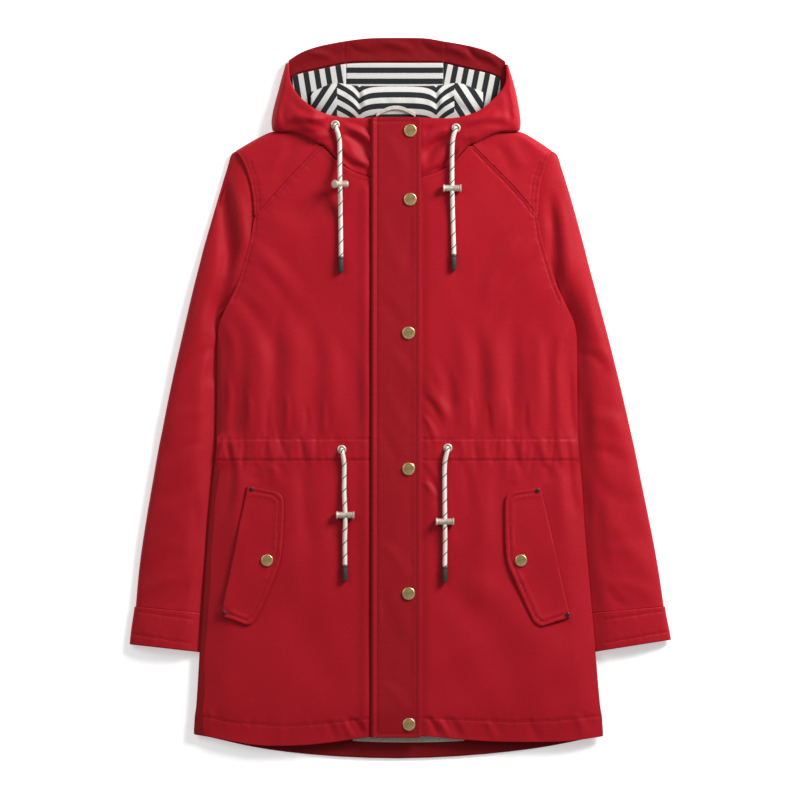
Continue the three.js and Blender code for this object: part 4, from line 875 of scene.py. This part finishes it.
def toggle(place, cord):
    """A barrel across a cord, with a bore that the cord runs through."""
    profile = [(ON_AXIS, -BARREL_HALF)] + [(r, h - BARREL_HALF) for r, h in BARREL_END]
    profile += [(r, BARREL_HALF - h) for r, h in reversed(BARREL_END)] + [(ON_AXIS, BARREL_HALF)]
    at = cord["route"][cord["toggle"] + 1]
    tilt = math.radians(cord["tilt"])
    obj = lathe(
        f"toggle_{place}_barrel", profile, 40, FITTING_METAL, f"toggle_{place}",
        at, (math.cos(tilt), 0, -math.sin(tilt)),
    )
    bore = bpy.data.meshes.new("bore")
    bm = bmesh.new()
    bmesh.ops.create_cone(
        bm, segments=32, radius1=BORE_RADIUS * MM, radius2=BORE_RADIUS * MM, depth=20 * MM,
        cap_ends=True,
    )
    bm.to_mesh(bore)
    bm.free()
    cutter = bpy.data.objects.new("bore", bore)
    cutter.rotation_euler = (math.pi / 2, 0, 0)
    cutter.location = obj.location
    bpy.context.scene.collection.objects.link(cutter)
    bpy.context.view_layer.update()
    cut = obj.modifiers.new("bore", "BOOLEAN")
    cut.operation = "DIFFERENCE"
    cut.object = cutter
    apply_modifiers(obj).set_sharp_from_angle(angle=BORE_EDGE)
    bpy.data.objects.remove(cutter)
    return obj


for place, cord in CORDS.items():
    braid, centre, long = make_cord(place, cord)
    barrel = toggle(place, cord)
    lathe(
        f"eyelet_{place}_ring", EYELET_PROFILE, 48, FITTING_METAL,
        f"eyelet_{place}", cord["eyelet"],
    )
    x, y, z = cord["route"][-1]
    tip = lathe(
        f"cord_tip_{place}_sleeve", TIP_PROFILE, 28, TIP, f"cord_tip_{place}",
        (x, y - 0.3, z), (0, -1, 0),
    )

# Where the cloth keeps still, round snaps, rivets and eyelets. Columns: x, y, radius.

STILL = [
    (13.5, 349, 12), (13.3, 259.6, 12), (11.1, 85.8, 12), (11.2, -91, 12), (11.2, -253.1, 12),
    (11.7, -423, 12), (-172.9, -209.8, 12), (157.3, -210, 12),
    (-193, -117.5, 6), (-229, -278.5, 6), (179, -119, 6), (218, -280.5, 6),
] + [(*cord["eyelet"][:2], 9) for cord in CORDS.values()]


def still(x, y):
    """0 on the places of STILL, and 1 away from them."""
    kept = np.ones_like(x)
    for px, py, radius in STILL:
        kept *= smooth(radius * 0.8, radius * 1.9, np.hypot(x - px, y - py))
    return kept


CORD_ROOM = 0.3  # how far cloth may rise under a cord


def under_cords(x, y, moved):
    """Cloth doesn't rise into the cords that lie on it."""
    for cord in CORDS.values():
        route = [p[:2] for p in cord["route"]]
        route.append((route[-1][0], route[-1][1] - TIP_LENGTH - 2))
        away, _ = near_line(route, x, y)
        over = moved - CORD_ROOM
        moved = np.where(over > 0, CORD_ROOM + over * smooth(3, 12, away), moved)
    return moved


BODY_ROWS = CASING_ROWS + [
    HEM_LEFT, HEM_RIGHT, beside(ARMHOLE_LEFT, 4), beside(ARMHOLE_RIGHT, -4),
    beside(YOKE_LEFT, -4), beside(YOKE_RIGHT, 4),
    [(182, 308), (173.5, 285), (170.5, 260), (171.5, 245)],
    [(-194, 308), (-186, 285), (-182.5, 260), (-182.5, 245)],
]


def casing(x, y):
    """The drawn tunnel at the waist stands up a little, and its gathers cut across it."""
    inside = smooth(-83, -76, y) * (1 - smooth(-55.5, -48.5, y))
    bumps = ripple(x, (1, 0.41, 0.6), (0.7, 0.67, 2.4), (0.6, 0.29, 4.0))
    return inside * (0.7 + 0.26 * bumps * (0.65 + 0.35 * np.sin(x * 0.047 + 1.0)))


def falls_away(x, y):
    """The fronts round down towards the side seams, more on the left, below the armholes."""
    left = np.interp(y, SIDE_ROWS["y"], SIDE_ROWS["left"])
    right = np.interp(y, SIDE_ROWS["y"], SIDE_ROWS["right"])
    drop = -4.6 * (1 - smooth(0, 46, x - left)) - 2.0 * (1 - smooth(0, 30, right - x))
    return drop * (1 - smooth(60, 130, y)) * (1 - 0.6 * smooth(-40, -60, y) * smooth(-95, -75, y))


def body_field(x, y):
    """Fronts and yokes. Beside the placket the cloth dips on the right and lifts on the left."""
    apart = np.abs(x - CENTRE_X)
    moved = crease_field(BODY_CREASES, x, y) * smooth(20, 44, apart)
    moved += (gather_field(x, y) + casing(x, y)) * smooth(34, 60, apart)
    moved += sway(x, y) * smooth(20, 60, apart)
    moved = under_cords(x, y, (moved + falls_away(x, y)) * still(x, y))
    dip = -1.1 * hump(x - 30, 5)
    lift = 2.0 * hump(x + 45, 7) * smooth(38, 40.5, -x)
    return moved + (dip + lift) * (1 - smooth(270, 285, y)) + sewn(BODY_ROWS, x, y)


FLAP_ROWS = [FLAP_LEFT, FLAP_RIGHT, FLAP_LEFT_HINGE, FLAP_RIGHT_HINGE]


def flap_field(x, y):
    edge = np.minimum(near_line(FLAP_LEFT, x, y)[0], near_line(FLAP_RIGHT, x, y)[0])
    moved = 0.8 * hump(edge - 3, 3) + sway(x, y) * 1.5
    return moved * still(x, y) + sewn(FLAP_ROWS, x, y, 0.55, 0.07)


def placket_field(x, y):
    welt = 0.9 * hump(x + 34.4, 2.4) - 0.9 * hump(x + 30.4, 1.3)
    edge = 1.1 * smooth(13, 26, x)
    between = smooth(-30, -22, x) * (1 - smooth(14, 20, x))
    moved = crease_field(PLACKET_CREASES, x, y) * between * still(x, y)
    return moved + welt + edge + sewn(PLACKET_ROWS, x, y, 0.6, 0.05)


def sleeve_field(x, y):
    return crease_field(SLEEVE_CREASES, x, y) + sway(x, y)


def cuff_field(x, y):
    return sway(x, y) * 1.6 + sewn(CUFF_ROWS, x, y)


def hood_field(x, y):
    """The hood's wings. The left one leans up towards the neck."""
    near = smooth(20, 36, np.abs(x - CENTRE_X))
    across = np.clip((x - (y - 390) * 0.25 + 168) / 58, 0, 1.1)
    lean = (13 * across - 3) * smooth(345, 366, y) * (1 - smooth(-116, -84, x))
    moved = (crease_field(HOOD_CREASES, x, y) + sway(x, y)) * near + lean
    return under_cords(x, y, moved * still(x, y)) + sewn(NECK_ROWS, x, y)


def far_edge(x):
    """Where the hood's far rim runs, for places x."""
    return 470 - ((x - CENTRE_X) / 28) ** 2


def turned_rim(co):
    """The facing turns down to the hood's underside at the rim, as one fold."""
    near = smooth(-6, -2, co[:, 1] - far_edge(co[:, 0]))
    low = co[:, 2] < 6.2
    co[low, 2] += (2.5 - co[low, 2]) * near[low]
    return co


def out_to_fold(side):
    """The underside runs out to the foot of the hood's side fold, so no floor shows between."""
    sign, edge_x, slope = (-1, 158.6, 0.176) if side == "left" else (1, 148.7, 0.156)

    def shape(co):
        inwards = edge_x - slope * (co[:, 1] - 355) - sign * co[:, 0]
        out = np.interp(co[:, 1], (350, 365, 385, 405, 425), (7.4, 8.6, 8.8, 6.9, 0))
        co[:, 0] += sign * out * np.clip(1 - inwards / 20, 0, 1)
        return co

    return shape


def lowered_foot(side):
    """The hood's side fold comes down to the floor right behind the shoulder."""
    sign, fold_x = (-1, -166) if side == "left" else (1, 156)

    def shape(co):
        x, y, z = co.T
        foot = np.interp(y, (348.5, 371), (15, 2))
        wanted = np.interp(y, (347.5, 353), (15, 1.5))
        share = np.clip((21.5 - z) / (21.5 - foot), 0, 1)
        near = 1 - smooth(10, 16, sign * (fold_x - x))
        inside = (y > 346) & (y < 374)
        co[:, 2] = np.where(inside, z - np.maximum(foot - wanted, 0) * share * near, z)
        return co

    return shape


def facing_field(x, y):
    rolled = 3.0 * smooth(-26, 0, y - far_edge(x))
    return rolled + crease_field(FACING_CREASES, x, y) + sway(x, y) * 2 + sewn(FACING_ROWS, x, y)


def neck_field(x, y):
    return crease_field(NECK_CREASES, x, y)


def under_field(x, y):
    furrows = np.maximum(-sewn(CASING_ROWS + [BACK_HEM_ROW], x, y), 0)
    return np.abs(crease_field(UNDER_CREASES, x, y)) + 0.3 * furrows


def above(low, high):
    """A weight that lets creases in from one height to another."""
    return lambda co: smooth(low, high, co[:, 2])


def plain(x, y):
    return np.zeros_like(x)


def full_head(side):
    """Fills the sleeve's head out to the shoulder, so that the outline runs on from the yoke."""
    left = side == "left"
    sign, tip_x, armhole = (-1, -214, ARMHOLE_LEFT) if left else (1, 198, ARMHOLE_RIGHT)

    def shape(co):
        near = hump(np.hypot(co[:, 0] - tip_x, co[:, 1] - 316), 11)
        co[:, 0] += sign * 1.8 * near
        co[:, 1] += 4.6 * near
        away, _ = near_line(armhole, co[:, 0], co[:, 1])
        co[:, 0] -= sign * 0.5 * hump(away, 3)
        return co

    return shape


def reach(row, x_by, y_by, more_at_start=0):
    """Lets a rim beside a row of points reach its neighbour's, so that no light shows between."""

    def shape(co):
        away, _ = near_line(row, co[:, 0], co[:, 1])
        start = np.hypot(co[:, 0] - row[0][0], co[:, 1] - row[0][1])
        near = hump(away, 3.5) * (1 + more_at_start * hump(start, 5))
        co[:, 0] += x_by * near
        co[:, 1] += y_by * near
        return co

    return shape


YOKE_REACH = {"left": reach(YOKE_LEFT, 0.12, -0.1, 10), "right": reach(YOKE_RIGHT, -0.3, -0.26, 4)}
CUFF_REACH = {
    "left": reach([(-345, -270.8), (-230, -280.8)], 0, 0.9),
    "right": reach([(344.5, -270.8), (230, -280.8)], 0, 0.9),
}

pieces = {}


def shell_piece(name, field=plain, material=SHELL, **how):
    pieces[name] = cloth(name, material, "shell_fabric", field, **how)


for side in SIDES:
    shell_piece(f"front_{side}", body_field)
    shell_piece(
        f"yoke_{side}", body_field, weight=above(6, 10), firm=1.0, shape=YOKE_REACH[side],
    )
    shell_piece(f"pocket_flap_{side}", flap_field)
    shell_piece(
        f"sleeve_{side}", sleeve_field, weight=above(5, 9), under=True, firm=1.0,
        shape=full_head(side),
    )
    shell_piece(
        f"cuff_{side}", cuff_field, weight=above(5, 9), under=True, firm=1.0,
        shape=CUFF_REACH[side],
    )
    shell_piece(f"hood_{side}", hood_field, weight=above(8, 13), shape=lowered_foot(side))
    shell_piece(f"hood_{side}_back", material=INSIDE_SHADE, under=True, shape=out_to_fold(side))
shell_piece("back", material=INSIDE_SHADE, longest=5, under=True)
shell_piece("hood_centre", material=INSIDE_SHADE, under=True)
shell_piece(
    "hood_facing", facing_field, FACING_SHADE, weight=above(4, 6), under=True, shape=turned_rim,
)
shell_piece("placket", placket_field, PLACKET_SHADE, longest=2.1)
for name in ("lining_hem", "hanger_loop"):
    pieces[name] = cloth(name, CREAM, "cream_fabric", plain)
for name in ("lining_left", "lining_centre", "lining_right"):
    pieces[name] = cloth(name, STRIPES, "lining_fabric", plain)
pieces["lining_neck"] = cloth(
    "lining_neck", STRIPES, "lining_fabric", neck_field, weight=above(6, 9),
)

# Stitches, laid on the pieces that they go through

STITCH_PITCH = 3.2
STITCH_LONG = 2.3
STITCH_HALF_WIDE = 0.3
STITCH_HALF_HIGH = 0.22
STITCH_LIFT = 0.1
STITCH_SIDES = 6
STITCH_TAPER = ((0.0, 0.3), (0.18, 0.9), (0.5, 1.0), (0.82, 0.9), (1.0, 0.3))  # place, thickness
LONGEST_STEP = 1.5  # a stitch that would climb more than this at an edge is left out
LOOK_FROM = 0.08  # metres; over the whole coat


def along_row(row):
    """The start and end of each stitch of a row."""
    p = np.array(row, float)
    run = np.concatenate([[0], np.cumsum(np.hypot(*np.diff(p, axis=0).T))])
    count = int(run[-1] / STITCH_PITCH)
    starts = np.arange(count) * run[-1] / count
    def at(s):
        return np.stack([np.interp(s, run, p[:, 0]), np.interp(s, run, p[:, 1])], axis=1)
    return zip(at(starts), at(starts + STITCH_LONG))


def sew(name, rows, over):
    graph = bpy.context.evaluated_depsgraph_get()
    trees = [BVHTree.FromObject(pieces[piece], graph) for piece in over]
    vertices, faces = [], []
    for row in rows:
        for start, end in along_row(row):
            stations = []
            for t, _ in STITCH_TAPER:
                x, y = start + (end - start) * t
                eye, down = Vector((x * MM, y * MM, LOOK_FROM)), Vector((0, 0, -1))
                hits = [tree.ray_cast(eye, down)[0] for tree in trees]
                heights = [hit.z / MM for hit in hits if hit is not None]
                if heights:
                    stations.append((x, y, max(heights)))
            if len(stations) < 5 or abs(stations[0][2] - stations[-1][2]) > LONGEST_STEP:
                continue
            ahead = (end - start) / np.linalg.norm(end - start)
            first = len(vertices)
            for (x, y, z), (_, thick) in zip(stations, STITCH_TAPER):
                for k in range(STITCH_SIDES):
                    angle = 2 * math.pi * k / STITCH_SIDES
                    out = math.cos(angle) * STITCH_HALF_WIDE * thick
                    up = math.sin(angle) * STITCH_HALF_HIGH * thick + STITCH_LIFT
                    corner = (x - ahead[1] * out, y + ahead[0] * out, z + up)
                    vertices.append([v * MM for v in corner])
            faces += quads(5, STITCH_SIDES, first)
            faces.append(tuple(range(first + STITCH_SIDES - 1, first - 1, -1)))
            faces.append(tuple(range(len(vertices) - STITCH_SIDES, len(vertices))))
    obj = mesh_object(name, vertices, faces, THREAD_AND_SHADE)


def both_of(*parts):
    return [f"{part}_{side}" for part in parts for side in SIDES]


sew("stitches_body", BODY_ROWS, both_of("front", "yoke"))
sew("stitches_placket", PLACKET_ROWS, ["placket"])
sew("stitches_flaps", FLAP_ROWS, both_of("pocket_flap"))
sew("stitches_cuffs", CUFF_ROWS, both_of("cuff", "sleeve"))
sew("stitches_neck", NECK_ROWS, both_of("hood", "front"))
sew("stitches_facing", FACING_ROWS, ["hood_facing"])

STRIPE_MM = 14.4


def lay_stripes(obj, across):
    """Lays stripes, where across gives the distance over them at each face corner."""
    mesh = obj.data
    layer = mesh.uv_layers.new(name="stripe")
    co = coordinates(mesh)
    corners = np.zeros(len(mesh.loops), int)
    mesh.loops.foreach_get("vertex_index", corners)
    middles = np.zeros(len(mesh.polygons) * 3)
    mesh.polygons.foreach_get("center", middles)
    middles = middles.reshape(-1, 3) / MM
    counts = np.zeros(len(mesh.polygons), int)
    mesh.polygons.foreach_get("loop_total", counts)
    face_of = np.repeat(np.arange(len(counts)), counts)
    x, y = co[corners, 0], co[corners, 1]
    over = across(x, y, middles[face_of, 0]) / STRIPE_MM
    layer.data.foreach_set("uv", np.stack([x / STRIPE_MM, over], axis=1).ravel())


def neck_stripes(x, y, face_x):
    """Level stripes that dip at the neck's two corners, and slant on the panels beyond."""
    dip = 9 * np.exp(-np.abs(x + 53) / 9) + 9 * np.exp(-np.abs(x - 47) / 9)
    rise = 0.44 * np.maximum(-53 - x, 0) + 0.44 * np.maximum(x - 47, 0)
    middle = 398.7 - y - dip + rise
    left = 0.85 * (x + 82) - 0.55 * (y - 380)
    right = 0.85 * (x - 70) + 0.55 * (y - 380)
    return np.where(face_x < -82, left, np.where(face_x > 70, right, middle))


lay_stripes(pieces["lining_centre"], lambda x, y, face_x: 430.4 - y)
lay_stripes(pieces["lining_left"], lambda x, y, face_x: x + 70 + 0.16 * (y - 437))
lay_stripes(pieces["lining_right"], lambda x, y, face_x: x - 56 - 0.2 * (y - 437))
lay_stripes(pieces["lining_neck"], neck_stripes)

# Snaps and rivets, where the CAD has them

for i in range(1, 7):
    snap(f"snap_{i}", 8.5)
for side in SIDES:
    snap(f"flap_snap_{side}", 8)
    for i in (1, 2):
        name = f"flap_rivet_{side}_{i}"
        lathe(name + "_head", RIVET_PROFILE, 28, RIVET_METAL, name, foot_of(name))

# Floor, light and the rest of the picture


def floor_material():
    made, tree, shader = material("floor")
    plug(
        tree, shader, Base_Color=(0.95, 0.95, 0.95, 1), Roughness=0.9, Emission_Color=(1, 1, 1, 1),
        Emission_Strength=0.36,
    )
    return made


FLOOR_HALF = 15  # metres, so that its end is out of sight
FLOOR_TOP = -0.0005
floor_corners = [
    (x * FLOOR_HALF, y * FLOOR_HALF, FLOOR_TOP) for x, y in ((-1, -1), (1, -1), (1, 1), (-1, 1))
]
floor_mesh = bpy.data.meshes.new("floor")
floor_mesh.from_pydata(floor_corners, [], [(0, 1, 2, 3)])
floor_mesh.materials.append(floor_material())
floor = bpy.data.objects.new("floor", floor_mesh)
bpy.context.scene.collection.objects.link(floor)

world = bpy.data.worlds.new("world")
world.use_nodes = True
plug(world.node_tree, world.node_tree.nodes["Background"], Color=(1, 1, 1, 1), Strength=0.29)
bpy.context.scene.world = world
bpy.context.scene.view_settings.view_transform = "Standard"


def area_light(name, location, size, power):
    data = bpy.data.lights.new(name, "AREA")
    data.size = size
    data.energy = power
    light = bpy.data.objects.new(name, data)
    light.location = location
    light.rotation_mode = "QUATERNION"
    light.rotation_quaternion = (-Vector(location)).to_track_quat("-Z", "Y")
    bpy.context.scene.collection.objects.link(light)


area_light("key", (1.6, 1.45, 1.2), 0.9, 92)
area_light("fill", (-2.0, 1.4, 2.4), 1.8, 26)
